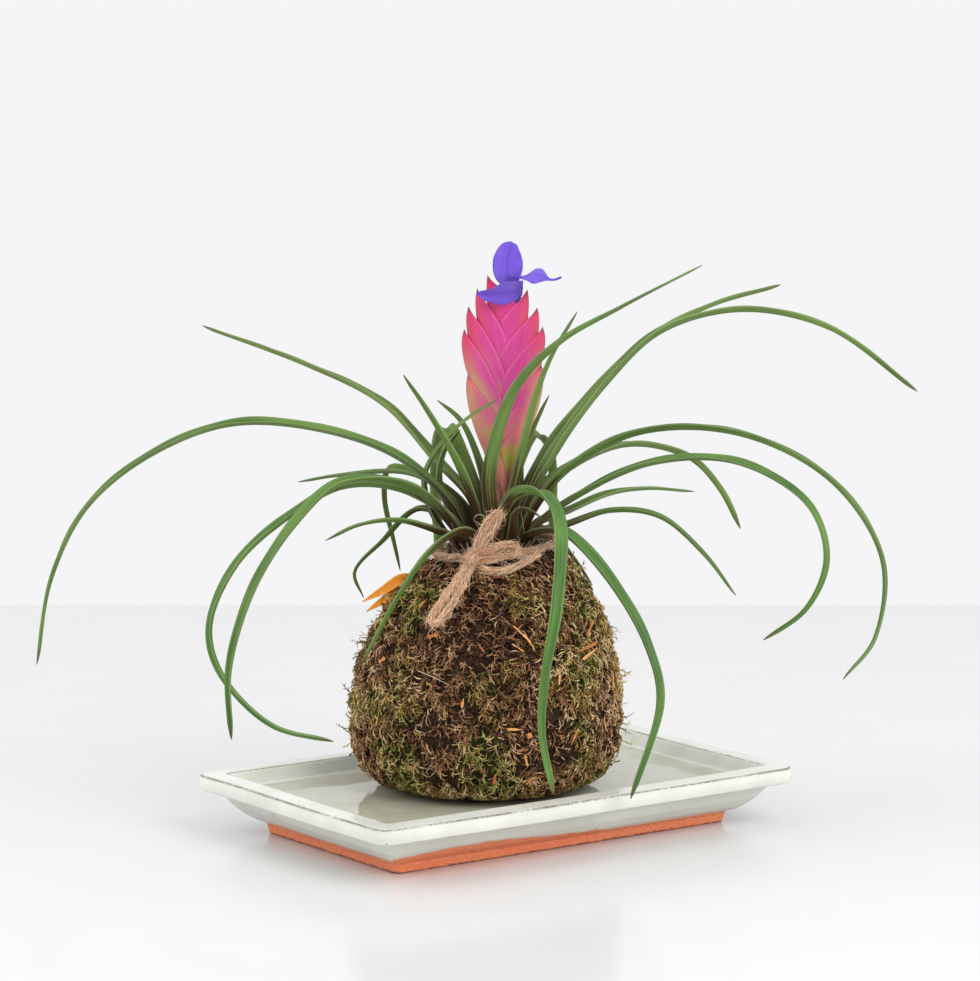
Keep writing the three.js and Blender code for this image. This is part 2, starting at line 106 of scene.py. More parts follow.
def carrySides(lines, side):
    # a side direction carried along each line (count, steps, 3) without spin: at every step the part of
    # it that runs along the line is taken off; up is the cross product of side and line
    along = unit(np.gradient(lines, axis=1))
    sides = np.empty_like(along)
    side = np.broadcast_to(side, along[:, 0].shape)
    for step in range(lines.shape[1]):
        ahead = along[:, step]
        side = unit(side - (side * ahead).sum(-1, keepdims=True) * ahead)
        sides[:, step] = side
    return sides, np.cross(sides, along)


def skinOf(rings):
    # closed skins over rings (count, steps, sides, 3): quads between rings and a flat cap at both ends,
    # turned outwards by the sign of the volume under them
    count, steps, sides, _ = rings.shape
    index = np.arange(count * steps * sides).reshape(count, steps, sides)
    a, d = index[:, :-1], index[:, 1:]
    quads = np.stack([a, np.roll(a, -1, 2), np.roll(d, -1, 2), d], axis=-1).reshape(-1, 4)
    caps = np.concatenate([index[:, 0, ::-1], index[:, -1]])
    points = rings.reshape(-1, 3)
    fromMiddle = points - points.mean(0)
    q = [fromMiddle[quads[:, k]] for k in range(4)]
    volume = (q[0] * (np.cross(q[1], q[2]) + np.cross(q[2], q[3]))).sum()
    faces = [quads, caps]
    return points, [f[:, ::-1] for f in faces] if volume < 0 else faces


def joined(parts):
    # several (points, faces, fields) as one
    start = np.cumsum([0] + [len(points) for points, _, _ in parts])
    points = np.concatenate([p for p, _, _ in parts])
    faces = [f + s for s, (_, group, _) in zip(start, parts) for f in group]
    fields = {key: np.concatenate([f[key] for _, _, f in parts]) for key in parts[0][2]}
    return points, faces, fields


def ringTube(line, radius, corners):
    # a round tube on a line: rings of corners points, and the angle of each point on its ring
    sides, ups = carrySides(line[None], np.array([1.0, 0, 0]))
    a = np.linspace(0, 2 * np.pi, corners, endpoint=False)[:, None]
    return line[:, None] + radius * (np.cos(a) * sides[0][:, None] + np.sin(a) * ups[0][:, None]), a


def bladeRings(line, sides, ups, across, face, thick):
    # rings of a thin blade: over its face at across from the line, and back under it by its thickness
    across = np.concatenate([across, across[:, ::-1]], axis=1)
    rise = np.concatenate([face, (face - thick)[:, ::-1]], axis=1)
    return line[:, None] + across[..., None] * sides[:, None] + rise[..., None] * ups[:, None], across


def addPiece(name, shape, material, stands=(), smooth=True):
    # a mesh piece of (points in the plant's millimetres, faces, fields for each point), and the nodes
    # that it stands for
    points, faces, fields = shape
    mesh = bpy.data.meshes.new(name)
    corners = np.concatenate([f.ravel() for f in faces]).astype(np.int32)
    sizes = np.concatenate([np.full(len(f), f.shape[1]) for f in faces])
    mesh.vertices.add(len(points))
    mesh.vertices.foreach_set("co", toRow(points).astype(np.float32).ravel())
    mesh.loops.add(len(corners))
    mesh.loops.foreach_set("vertex_index", corners)
    mesh.polygons.add(len(sizes))
    mesh.polygons.foreach_set("loop_start", (np.cumsum(sizes) - sizes).astype(np.int32))
    mesh.polygons.foreach_set("use_smooth", np.full(len(sizes), smooth))
    for key, values in fields.items():
        values = np.asarray(values, np.float32)
        if values.ndim == 2:
            mesh.attributes.new(key, "FLOAT_VECTOR", "POINT").data.foreach_set("vector", values.ravel())
        else:
            mesh.attributes.new(key, "FLOAT", "POINT").data.foreach_set("value", values)
    mesh.update(calc_edges=True)
    mesh.validate()
    piece = bpy.data.objects.new(name, mesh)
    bpy.context.scene.collection.objects.link(piece)
    mesh.materials.append(material)
    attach(piece, "root")
    if stands:
        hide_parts(*stands)
    print("made", name, sum(len(f) * (f.shape[1] - 2) for f in faces), "triangles")


def waves(points, wavelength, seed):
    # a smooth random field, mostly from -1 to 1: twice the mean of nine plane waves in random directions
    rng = np.random.default_rng(seed)
    ways = unit(rng.normal(size=(9, 3))) * 2 * np.pi / wavelength
    return np.sin(points @ ways.T + rng.uniform(0, 2 * np.pi, 9)).mean(-1) * 2


# Materials


def linear(shade):
    # sRGB hex to linear: ((c + 0.055) / 1.055) ^ 2.4 above the dark end
    c = np.array([int(shade[i:i + 2], 16) for i in (1, 3, 5)]) / 255
    c = np.where(c > 0.04045, ((c + 0.055) / 1.055) ** 2.4, c / 12.92)
    return (*map(float, c), 1.0)


def addNode(tree, kind, inputs=(), output=0, stops=(), **settings):
    # one node with its settings, its inputs (numbers, hex colours or sockets) and a colour ramp's stops;
    # it gives back one output, or the node where it has none
    node = tree.nodes.new("ShaderNode" + kind)
    for name, value in settings.items():
        setattr(node, name, value)
    for place, (position, shade) in enumerate(stops):
        ramp = node.color_ramp.elements
        stop = ramp[place] if place < 2 else ramp.new(position)
        stop.position = position
        stop.color = linear(shade)
    for key, value in dict(inputs).items():
        if isinstance(value, bpy.types.NodeSocket):
            tree.links.new(value, node.inputs[key])
        else:
            node.inputs[key].default_value = linear(value) if isinstance(value, str) else value
    return node.outputs[output] if len(node.outputs) else node


def newMaterial(name):
    # an empty material, its tree, and object coordinates in millimetres
    material = bpy.data.materials.new(name)
    material.use_nodes = True
    tree = material.node_tree
    tree.nodes.clear()
    place = addNode(tree, "TexCoord", output="Object")
    return material, tree, addNode(tree, "VectorMath", {0: place, "Scale": 1 / mm}, operation="SCALE")


# Camera, lights and table

view = {
    "place": (2.28, -1853.4, 412.8),    # the plant's millimetres
    "down": 8.28,                       # degrees below level
    "focal": 4500,                      # in pixels of the picture
    "width": 980,                       # pixels
    "sensor": 36,
    "farthest": 20,                     # metres
    "tableEdge": 552,                   # how far behind the plant the table ends
    "tableSide": 3000,
}

studio = {
    "level": 0.84,          # brightness of the room at eye level
    "overhead": 1.0,
    "wall": 0.93,
    "aim": (0, 0, 80),
    "lampSize": (1.1, 1.1),
    "tint": "#FFFDF9",
    "lamps": [("window", (-1300, -350, 900), 9.5), ("softbox", (950, -900, 950), 15)],
}


def addCamera():
    camera = bpy.data.cameras.new("camera")
    camera.sensor_fit = "HORIZONTAL"
    camera.sensor_width = view["sensor"]
    camera.lens = view["focal"] / view["width"] * view["sensor"]
    camera.clip_end = view["farthest"]
    holder = bpy.data.objects.new("camera", camera)
    holder.location = toRow(view["place"])
    holder.rotation_euler = (np.radians(90 - view["down"]), 0, turn)
    bpy.context.scene.collection.objects.link(holder)
    bpy.context.scene.camera = holder


def addLamp(name, place, aim, size, watts, tint):
    lamp = bpy.data.lights.new(name, "AREA")
    lamp.shape = "RECTANGLE"
    lamp.size, lamp.size_y = size
    lamp.energy = watts
    lamp.color = linear(tint)[:3]
    holder = bpy.data.objects.new(name, lamp)
    start, end = toRow([place, aim])
    holder.location = start
    holder.rotation_euler = Vector(start - end).to_track_quat("Z", "Y").to_euler()
    bpy.context.scene.collection.objects.link(holder)


def addStage():
    # a white laminate table, slightly glossy, that ends behind the plant as in a small studio
    material, tree, place = newMaterial("laminate_table")
    cloud = addNode(tree, "TexNoise", {"Vector": place, "Scale": 0.02})
    white = addNode(tree, "Mix", {0: cloud, 6: "#D5D5D6", 7: "#DADADB"}, 2, data_type="RGBA")
    surface = addNode(tree, "BsdfPrincipled", {"Base Color": white, "Roughness": 0.2, "IOR": 1.3})
    addNode(tree, "OutputMaterial", {"Surface": surface})
    side, edge = view["tableSide"], view["tableEdge"]
    corners = [(-side, -side, 0), (side, -side, 0), (side, edge, 0), (-side, edge, 0)]
    mesh = bpy.data.meshes.new("table")
    mesh.from_pydata([tuple(p) for p in toRow(corners)], [], [(0, 1, 2, 3)])
    mesh.materials.append(material)
    table = bpy.data.objects.new("table", mesh)
    bpy.context.scene.collection.objects.link(table)

    # a white wall behind, and light that falls off from overhead to the dimmer room at eye level
    world = bpy.data.worlds.new("studio")
    world.use_nodes = True
    tree = world.node_tree
    tree.nodes.clear()
    height = addNode(tree, "SeparateXYZ", {0: addNode(tree, "TexCoord", output="Generated")}, "Z")
    dimmer = {"Value": height, "From Max": 0.8, "To Min": studio["level"], "To Max": studio["overhead"]}
    room = addNode(tree, "MapRange", dimmer)
    seen = addNode(tree, "LightPath", output="Is Camera Ray")
    strength = addNode(tree, "Mix", {0: seen, 2: room, 3: studio["wall"]}, data_type="FLOAT")
    light = addNode(tree, "Background", {"Color": "#FDFDFF", "Strength": strength})
    addNode(tree, "OutputWorld", {"Surface": light})
    scene = bpy.context.scene
    scene.world = world
    scene.view_settings.view_transform = "Standard"
    scene.view_settings.look = "None"
    for name, place, watts in studio["lamps"]:
        addLamp(name, place, studio["aim"], studio["lampSize"], watts, studio["tint"])


addCamera()
addStage()


# Ball: its outline as (radius, height above its lowest moss), and the hollow that holds the roots

ball = {
    "outline": [(29, 0), (40, 1.6), (49, 6), (54.5, 16), (56, 31), (54.8, 47), (50.6, 62), (44, 75.5),
        (36.5, 86.5), (29.5, 94.2), (24, 98.2), (22, 100), (19, 100.8), (15.8, 100.2)],
    "hollow": [(15.35, 95.4), (15.35, 90), (18.45, 87), (26.45, 79), (36.45, 66), (43.95, 50),
        (46.45, 33), (44.95, 22), (38.45, 13), (26.45, 9.6), (25.5, 9)],
    "rows": 110,
    "sides": 190,
    "lumps": (1.1, 11, 1),      # height and spacing in mm, and seed
    "pits": (0.8, 3.2, 2),
    "sunk": 1.9,                # how far the bed lies under the tips of the moss
    "bend": 52,                 # radius that the moss follows
    "tuck": 12,                 # height under which the moss is pressed in
    "proud": 2.4,               # how far it may stand out there
}


def besideAxis(radius, height, angle):
    # a point beside the ball's axis, which leans by lean times share squared, on a ring that tips by
    # tip times share to the fourth
    share = height / plant["ballHeight"]
    x = plant["lean"] * share**2 + radius * np.cos(angle)
    z = plant["floor"] + height + plant["tip"] * share**4 * x
    return np.stack([x, radius * np.sin(angle) + 0 * x, z], axis=-1)


outline = smoothWay(ball["outline"], 400)


def onBall(t, angle):
    # the point at share t of the outline, the direction out of the ball, round it and up along it
    along = np.linspace(0, 1, len(outline))
    slope = unit(np.gradient(outline, axis=0))
    radius, height, dr, dh = (np.interp(t, along, c) for c in (*outline.T, *slope.T))
    c, s = np.cos(angle), np.sin(angle)
    out = np.stack([dh * c, dh * s, -dr], axis=-1)
    up = np.stack([dr * c, dr * s, dh], axis=-1)
    return besideAxis(radius, height, angle), out, np.stack([-s, c, 0 * c], axis=-1), up


def shareByArea(rng, count):
    # shares of the outline, drawn so that every square millimetre of the ball is as likely
    weight = np.cumsum(outline[:, 0])
    return np.interp(rng.random(count), weight / weight[-1], np.linspace(0, 1, len(outline)))


# How green the moss is: smooth random patches, and named ones, each as (middle, size in mm, amount): fresh
# ones, the largest low in front and on both flanks, and dark bare ones, the largest in the upper middle
patches = {
    "size": 17,         # mm
    "fresh": [((2, -54, 36), 14, 1.5), ((-50, -24, 45), 14, 0.3), ((50, -22, 80), 18, 0.5),
        ((-16, -50, 64), 5, 1.4), ((20, -47, 80), 9, 0.7)],
    "bare": [((-4, -48, 92), 20, 0.9), ((26, -48, 50), 15, 0.8), ((2, -20, 117), 12, 0.8),
        ((0, -54, 66), 9, 0.7)],
    # painted light and shade: the threads are painted paler on the flanks, where the lamps light them, and,
    # where the amount has a minus, darker in the middle and at the top
    "pale": [((-50, -20, 55), 28, 0.2), ((52, -18, 70), 30, 0.3), ((0, -50, 32), 22, 0.15),
        ((-2, -46, 92), 26, -0.13), ((4, -54, 66), 16, -0.05)],
}


def bells(points, places):
    # round each place a bell of its amount times exp(-(distance / size)^2), all added up
    total = 0
    for middle, size, amount in places:
        far = np.linalg.norm(points - np.array(middle), axis=-1) / size
        total = total + amount * np.exp(-far * far)
    return total


def greenness(points):
    # the random patches, with the named fresh ones added and the bare ones taken off
    green = waves(points, patches["size"] * 2, 3) + 0.5 * waves(points, patches["size"], 4)
    return green + bells(points, patches["fresh"]) - bells(points, patches["bare"])


def mossBed():
    # the ball's own skin: the outline turned round its axis, pushed in and out by two random fields, then
    # back down along the hollow inside
    t = np.linspace(0, 1, ball["rows"])
    angle = np.linspace(0, 2 * np.pi, ball["sides"], endpoint=False)
    points, out, _, _ = onBall(*np.meshgrid(t, angle, indexing="ij"))
    fade = (smoothstep(0, 0.12, t) * (1 - smoothstep(0.9, 1, t)))[:, None]
    (lump, lumpSize, lumpSeed), (pit, pitSize, pitSeed) = ball["lumps"], ball["pits"]
    relief = lump * waves(points, lumpSize, lumpSeed) + pit * waves(points, pitSize, pitSeed) - ball["sunk"]
    points = points + out * (fade * relief)[..., None]
    inside = np.array([besideAxis(np.full(len(angle), r), h, angle) for r, h in ball["hollow"]])
    points, faces = skinOf(np.concatenate([points, inside])[None])
    return points, faces, {"green": greenness(points)}


# Moss: threads that lie over the ball, kinked or feathered, each a three-sided tube. How likely each kind
# grows at a place follows from how green the place is


def dry(green):
    return np.exp(-np.clip(green + 0.3, 0, None) ** 2)


def middling(green):
    return np.exp(-((green - 0.4) ** 2) / 0.6)


def fresh(green):
    return smoothstep(0.2, 1.5, green) ** 2


def anywhere(green):
    return 1 + 0 * green


moss = {
    # each kind's material and its colours, from the darkest threads to the palest
    "colours": {
        "brown": ("dry_brown_moss", [(0.0, "#2C1A12"), (0.3, "#6E4832"), (0.55, "#996B4A"),
            (0.8, "#BF9268"), (1.0, "#DCC09A")]),
        "olive": ("dry_olive_moss", [(0.0, "#2E220F"), (0.3, "#745A2A"), (0.55, "#A08244"),
            (0.8, "#C4A863"), (1.0, "#DECA94")]),
        "green": ("fresh_green_moss", [(0.0, "#2E3012"), (0.3, "#5E6428"), (0.55, "#8A8C3C"),
            (0.8, "#AEAC58"), (1.0, "#CFC988")]),
    },
    # piece, colour, seed, how many, where, then length, radius and lift in mm
    "threads": [
        ("moss_brown_deep", "brown", 12, 4300, anywhere, (3, 8), (0.24, 0.44), (0.2, 1.0)),
        ("moss_brown", "brown", 11, 3000, dry, (2.5, 6.5), (0.26, 0.46), (0.4, 2.0)),
        ("moss_olive", "olive", 13, 3200, middling, (2.5, 6.5), (0.26, 0.44), (0.5, 2.0)),
        ("moss_green", "green", 14, 1000, fresh, (2.5, 6), (0.24, 0.4), (0.5, 2.2)),
    ],
    # the same for the feathered shoots, which share one lift
    "shoots": [
        ("moss_shoots_brown", "brown", 21, 1830, dry, (4, 8), (0.28, 0.48)),
        ("moss_shoots_olive", "olive", 23, 1830, middling, (4, 8), (0.28, 0.48)),
        ("moss_shoots_green", "green", 25, 600, fresh, (4, 8), (0.28, 0.48)),
        ("moss_shoots_short", "brown", 27, 800, anywhere, (2.5, 5), (0.24, 0.38)),
    ],
    "shootLift": (0.6, 2.2),
    "threadSteps": 4,
    "threadTurn": 0.35,     # radians from one step to the next
    "threadTaper": 0.72,
    "threadSwell": 0.35,
    "shootTurn": 0.25,
    "shootTaper": 0.6,
    "twigs": 5,
    "twigSplay": (0.5, 1.2),                # radians off the stem
    "twigLength": (0.16, 0.34),             # shares of the stem's length
    "twigRadius": 0.85,                     # share of the stem's radius
    "twigShape": (1, 1.05, 0.35),           # of the radius, from root to tip
    "rooted": (0.9, 2.2),   # how deep the threads start under the outline
    "tufts": (8, 5),        # mm from one tuft of moss to the next, and seed
    "tuftRise": 1.0,
    # shares of the outline between which the moss sets in, stops hanging straight down, and gets thinner
    "foot": (0, 0.05),
    "turning": (0.45, 0.8),
    "neck": (0.89, 0.96),
    "thinner": 0.8,
}

threadSides = np.radians([90, 210, 330])


def tubesOn(lines, normal, radius, roll=0.0):
    # three-sided tubes on lines (count, steps, 3) with radius (count, steps); roll turns them round their
    # lines, from the surface whose normal is given
    along = unit(np.gradient(lines, axis=1))
    side = unit(np.cross(along, normal))
    up = np.cross(side, along)
    a = threadSides + np.asarray(roll)[..., None]
    across, rise = np.cos(a)[..., None], np.sin(a)[..., None]
    return lines[:, :, None] + radius[..., None, None] * (across * side[:, :, None] + rise * up[:, :, None])


def threadLines(rng, start, out, around, up, length, steps, turnBy, lift, sink, heading):
    # lines over the ball: at each step the heading in the surface turns by a random angle; the height
    # over the surface is lift times sin(pi s) plus a random rise at the tip, and the ball's curve is
    # followed by taking off distance^2 / (2 * bend)
    count = len(start)
    s = np.linspace(0, 1, steps)
    heading = heading[:, None] + np.cumsum(rng.normal(0, turnBy, (count, steps)), axis=1)
    heading = heading + rng.normal(0, 0.5, (count, 1)) * s
    move = np.cos(heading)[..., None] * around[:, None] + np.sin(heading)[..., None] * up[:, None]
    path = np.cumsum(move, axis=1) - move[:, :1]
    path = path * (length / (steps - 1))[:, None, None]
    rise = lift[:, None] * np.sin(np.pi * s) + lift[:, None] * rng.uniform(-0.2, 1.1, (count, 1)) * s**2
    drop = (path**2).sum(-1) / (2 * ball["bend"])
    return start[:, None] + path + out[:, None] * (rise - sink[:, None] - drop)[..., None]


def tucked(points):
    # low down, the moss is pressed in to the ball's own outline, and nothing hangs under its foot
    height = points[..., 2] - plant["floor"]
    foot = outline[:np.argmax(outline[:, 1] > ball["tuck"]) + 1]
    most = np.interp(height, foot[:, 1], foot[:, 0]) + ball["proud"]
    away = np.hypot(points[..., 0], points[..., 1])
    press = np.where(height < ball["tuck"], np.minimum(1, most / away), 1)
    points = points * np.stack([press, press, np.ones_like(press)], -1)
    points[..., 2] = np.maximum(points[..., 2], plant["floor"] + 0.2)
    return points


def mossPlaces(rng, count, wanted):
    # places on the ball: of four times as many draws the likeliest stay, by wanted(greenness) and by a
    # field of tufts, and each starts as high as its tuft; most threads hang down
    t, angle = shareByArea(rng, count * 4), rng.uniform(0, 2 * np.pi, count * 4)
    start, out, around, up = onBall(t, angle)
    tuft = waves(start, *moss["tufts"])
    chance = wanted(greenness(start)) * (0.4 + smoothstep(-0.5, 0.6, tuft))
    chance = chance * (1 - moss["thinner"] * smoothstep(*moss["neck"], t)) * smoothstep(*moss["foot"], t)
    keep = np.argsort(-chance * (0.15 + 0.85 * rng.random(len(t))))[:count]
    start, out, around, up = start[keep], out[keep], around[keep], up[keep]
    hang = rng.normal(-np.pi / 2, 0.55 + 0.9 * smoothstep(*moss["turning"], t[keep]))
    return (start + out * (moss["tuftRise"] * tuft[keep])[:, None], out, around, up), hang


def mossThreads(seed, count, wanted, length, radius, lift):
    # count threads where wanted(greenness) is likely; a thread swells and narrows along its length. Its shade
    # is random, with painted light added in the patches named pale on the flanks and painted shade in the
    # middle and top; its tip field lets the material paint shade towards the roots
    rng = np.random.default_rng(seed)
    steps = moss["threadSteps"]
    (start, out, around, up), hang = mossPlaces(rng, count, wanted)
    lines = threadLines(rng, start, out, around, up, rng.uniform(*length, count), steps, moss["threadTurn"],
        rng.uniform(*lift, count), rng.uniform(*moss["rooted"], count), hang)
    s = np.linspace(0, 1, steps)
    swell = 1 + moss["threadSwell"] * np.cos(np.pi * np.arange(steps))
    radii = rng.uniform(*radius, (count, 1)) * (1 - moss["threadTaper"] * s**2) * swell
    rings = tucked(tubesOn(lines, out[:, None], radii, rng.uniform(0, 2, (count, 1))))
    points, faces = skinOf(rings)
    # painted light and shade: the random tone is raised on the lit flanks and lowered in the middle and top
    tone = rng.random(count) + bells(start, patches["pale"])
    shade = np.broadcast_to(tone[:, None, None], rings.shape[:3]).ravel()
    return points, faces, {"shade": shade, "tip": np.broadcast_to(s[None, :, None], rings.shape[:3]).ravel()}


def featheredShoots(seed, starts, length, radius, lift, heading):
    # moss shoots: a kinked stem, and at each inner step a twig that leaves it by about 50 degrees, left
    # and right in turn, nearly as thick; shades, with their painted light and shade, as for the threads
    rng = np.random.default_rng(seed)
    start, out, around, up = starts
    twigs = moss["twigs"]
    count, steps = len(start), twigs + 2
    lengths = rng.uniform(*length, count)
    stem = threadLines(rng, start, out, around, up, lengths, steps, moss["shootTurn"],
        rng.uniform(*lift, count), rng.uniform(*moss["rooted"], count), heading)
    s = np.linspace(0, 1, steps)
    thick = rng.uniform(*radius, (count, 1)) * (1 - moss["shootTaper"] * s)
    along = unit(np.gradient(stem, axis=1))[:, 1:-1]
    side = unit(np.cross(along, out[:, None])) * np.where(np.arange(twigs) % 2, 1, -1)[None, :, None]
    splay = rng.uniform(*moss["twigSplay"], (count, twigs, 1))
    way = np.cos(splay) * along + np.sin(splay) * side + rng.normal(0, 0.3, (count, twigs, 3))
    reach = (lengths[:, None] * rng.uniform(*moss["twigLength"], (count, twigs)))[..., None]
    u = np.linspace(0, 1, 3)[None, None, :, None]
    bend = rng.normal(0, 0.16, (count, twigs, 1, 3)) * u * u
    twig = stem[:, 1:-1, None] + (unit(way)[:, :, None] * u + bend) * reach[:, :, None]
    twig = twig.reshape(count * twigs, 3, 3)
    twigThick = moss["twigRadius"] * thick[:, 1:-1, None] * np.array(moss["twigShape"])
    normal = np.repeat(out, twigs, axis=0)[:, None]
    parts = []
    # painted light and shade: the random tone is raised on the lit flanks and lowered in the middle and top
    tone = rng.random(count) + bells(start, patches["pale"])
    for rings, own in (
        (tubesOn(stem, out[:, None], thick), tone),
        (tubesOn(twig, normal, twigThick.reshape(-1, 3)), np.repeat(tone, twigs)),
    ):
        points, faces = skinOf(tucked(rings))
        shape = rings.shape[:3]
        # the tip field, from which the material paints shade towards the roots
        reached = np.broadcast_to(np.linspace(0.25, 1, shape[1])[None, :, None], shape).ravel()
        shade = np.broadcast_to(own[:, None, None], shape).ravel()
        parts.append((points, faces, {"shade": shade, "tip": reached}))
    return joined(parts)


def shootsOverBall(seed, count, wanted, length, radius):
    starts, hang = mossPlaces(np.random.default_rng(seed), count, wanted)
    return featheredShoots(seed + 1, starts, length, radius, moss["shootLift"], hang)


# Shoots that stick out past the ball's outline, in bunches

stray = {
    # (share of the outline, angle in degrees, which way the bunch leans in the picture in degrees)
    "places": [
        (0.60, 186, 150), (0.58, 178, 200), (0.70, 190, 120), (0.72, 182, 170), (0.55, 196, 215),
        (0.50, 352, 330), (0.47, 356, 20), (0.60, 2, 10), (0.35, 348, 350), (0.30, 184, 190),
        (0.28, 8, 300), (0.40, 172, 230), (0.80, 20, 60), (0.44, 90, 60), (0.55, 120, 200),
        (0.74, 192, 150), (0.71, 197, 165), (0.77, 189, 140), (0.18, 345, 330), (0.22, 200, 220),
        (0.16, 312, 300), (0.15, 240, 250),
    ],
    "bunch": 5,
    "spread": (0.02, 6, 30),    # of the three values in a bunch
    "sunk": 1.5,
    "length": (4.5, 9),
    "radius": (0.28, 0.4),
    "lift": (0.2, 1.2),
}


def strayShoots():
    # each one starts in the moss and leaves it along a direction mixed from out of the ball and its lean;
    # of each row of four draws the last is spare
    places = np.repeat(np.array(stray["places"], float), stray["bunch"], axis=0)
    count = len(places)
    draws = np.random.default_rng(31).normal(0, 1, (count, 4))
    share, angle, lean = (places + draws[:, :3] * stray["spread"]).T
    start, out, _, _ = onBall(share, np.radians(angle))
    lean = np.radians(lean)
    screen = np.stack([np.cos(lean), 0 * lean, np.sin(lean)], axis=-1)
    way = unit(0.7 * out + screen)
    sideways = unit(np.cross(way, out) + 1e-3)
    flat = unit(np.cross(sideways, way))
    starts = (start - stray["sunk"] * out, flat, way, sideways)
    return featheredShoots(32, starts, stray["length"], stray["radius"], stray["lift"], np.zeros(count))


# Bark chips and needles among the moss: some at chosen places, (x, z, tilt in degrees, length, width),
# on the side that faces the viewer, and more at random, browner and half buried
chips = {
    "chosen": [
        (-20.4, 89, 5, 4.2, 2.1), (-26, 99.6, 35, 7, 1.4), (-41, 77, 10, 3, 1.9), (-40, 62, 50, 5, 0.8),
        (-42.7, 54, 65, 6, 0.7), (-8.6, 63.6, 80, 4, 0.9), (12, 53, -4, 6.5, 1.2), (17.8, 50, 70, 2.6, 1.9),
        (16.6, 40, -75, 5, 1.3), (21, 32, 5, 7, 0.6), (17.8, 31, 60, 4, 0.8), (4, 32.6, 85, 4.5, 1.1),
        (36, 47.5, 55, 6.5, 0.9), (42.6, 88, 38, 6, 1.2), (41.5, 81.5, 22, 8.5, 1.2), (42.5, 79, 25, 7, 1.1),
        (14.6, 90, -50, 9, 0.7), (18, 86.5, -62, 8, 0.7), (13.4, 84.6, -35, 6, 0.6), (48.5, 50, -60, 6, 1.0),
        (-28, 101, 70, 5, 1.0), (30, 72, 75, 6, 0.7), (52, 66, 40, 5, 0.9)],
    "loose": 110,
    "length": (3, 8),
    "width": (0.5, 1.0),
    "lift": (1.5, 0.3),     # of the chosen ones, and of the loose ones
    "flat": 0.55,           # thickness for each mm of half width
    "between": (0.08, 0.86),        # shares of the ball's outline
    "flank": 0.97,          # the chosen ones lie within this share of the ball's radius
    "turnedAway": 0.55,     # foreshortening past which they get no longer
}


def barkChips():
    # flat four-sided bars, about a quarter as thick as they are wide, narrowed at both ends, laid along
    # the surface and bent a little
    rng = np.random.default_rng(41)
    x, z, tilt, long, wide = np.array(chips["chosen"], float).T
    chosen, loose = len(x), chips["loose"]
    height = z - plant["floor"]
    shares = np.linspace(0, 1, len(outline))
    rising = np.argmax(outline[:, 1])
    t = np.interp(height, outline[:rising, 1], shares[:rising])
    radius = np.interp(t, shares, outline[:, 0])
    lean = plant["lean"] * (height / plant["ballHeight"]) ** 2
    angle = -np.arccos(np.clip((x - lean) / radius, -chips["flank"], chips["flank"]))
    t = np.clip(np.concatenate([t, shareByArea(rng, loose)]), *chips["between"])
    angle = np.concatenate([angle, rng.uniform(0, 2 * np.pi, loose)])
    tilt = np.radians(np.concatenate([tilt, rng.uniform(0, 180, loose)]))
    long = np.concatenate([long, rng.uniform(*chips["length"], loose)])
    wide = np.concatenate([wide, rng.uniform(*chips["width"], loose)])
    above = np.repeat(chips["lift"], (chosen, loose))[:, None]
    start, out, around, up = onBall(t, angle)
    way = np.cos(tilt)[:, None] * around + np.sin(tilt)[:, None] * up
    # the chosen ones tilt as seen in front, and are longer where the ball turns away
    front = np.stack([np.cos(tilt), 0 * tilt, np.sin(tilt)], -1)[:chosen]
    near = out[:chosen]
    front = front - (front * near).sum(-1, keepdims=True) * near
    way[:chosen] = unit(front)
    long[:chosen] /= np.maximum(np.linalg.norm(front, axis=1), chips["turnedAway"])
    s = np.array([-0.5, -0.38, 0, 0.3, 0.5])
    bend = rng.normal(0, 0.8, (len(t), 1)) * (s * s)[None]
    lift = above - (s * long[:, None]) ** 2 / (2 * ball["bend"]) + bend
    side = np.cross(way, out)
    lines = start[:, None] + way[:, None] * (s * long[:, None])[..., None] + out[:, None] * lift[..., None]
    half = 0.5 * wide[:, None] * rng.uniform(0.3, 1, (len(t), 5)) * np.array([0.5, 1.2, 1.3, 1.1, 0.4])
    corner = np.array([(1, 0.5), (-1, 0.5), (-1, -0.5), (1, -0.5)])
    sideways = corner[:, :1] * side[:, None, None]
    upward = chips["flat"] * corner[:, 1:] * out[:, None, None]
    rings = lines[:, :, None] + half[..., None, None] * (sideways + upward)
    points, faces = skinOf(rings)
    tone = np.concatenate([rng.uniform(0.55, 0.95, chosen), rng.random(loose) * 0.5])
    return points, faces, {"shade": np.broadcast_to(tone[:, None, None], rings.shape[:3]).ravel()}


def mossMaterial(name, stops):
    # dried sheet moss: matt, and mottled by its leaflets, which are drawn as spots about 0.8 mm wide; its
    # threads are painted darker towards their roots, almost black there, as painted shade of the hollows
    # between them
    material, tree, place = newMaterial(name)
    shade = addNode(tree, "Attribute", output="Fac", attribute_name="shade")
    tip = addNode(tree, "Attribute", output="Fac", attribute_name="tip")
    patch = addNode(tree, "TexNoise", {"Vector": place, "Scale": 0.12, "Detail": 2.0})
    leaflets = addNode(tree, "TexNoise", {"Vector": place, "Scale": 1.3, "Detail": 2.0, "Roughness": 0.7})
    shade = addNode(tree, "Math", {0: patch, 1: 0.5, 2: shade}, operation="MULTIPLY_ADD")
    shade = addNode(tree, "Math", {0: leaflets, 1: 1.2, 2: shade}, operation="MULTIPLY_ADD")
    shade = addNode(tree, "Math", {0: shade, 1: 0.85}, operation="SUBTRACT")
    colour = addNode(tree, "ValToRGB", {0: shade}, stops=stops)
    # painted shade: near the roots of the threads the colour is mixed towards almost black
    depth = addNode(tree, "MapRange", {"Value": tip, "From Min": -0.25, "From Max": 0.55})
    colour = addNode(tree, "Mix", {0: depth, 6: "#1E140C", 7: colour}, 2, data_type="RGBA")
    look = {"Base Color": colour, "Roughness": 0.9, "Specular IOR Level": 0.25}
    addNode(tree, "OutputMaterial", {"Surface": addNode(tree, "BsdfPrincipled", look)})
    return material


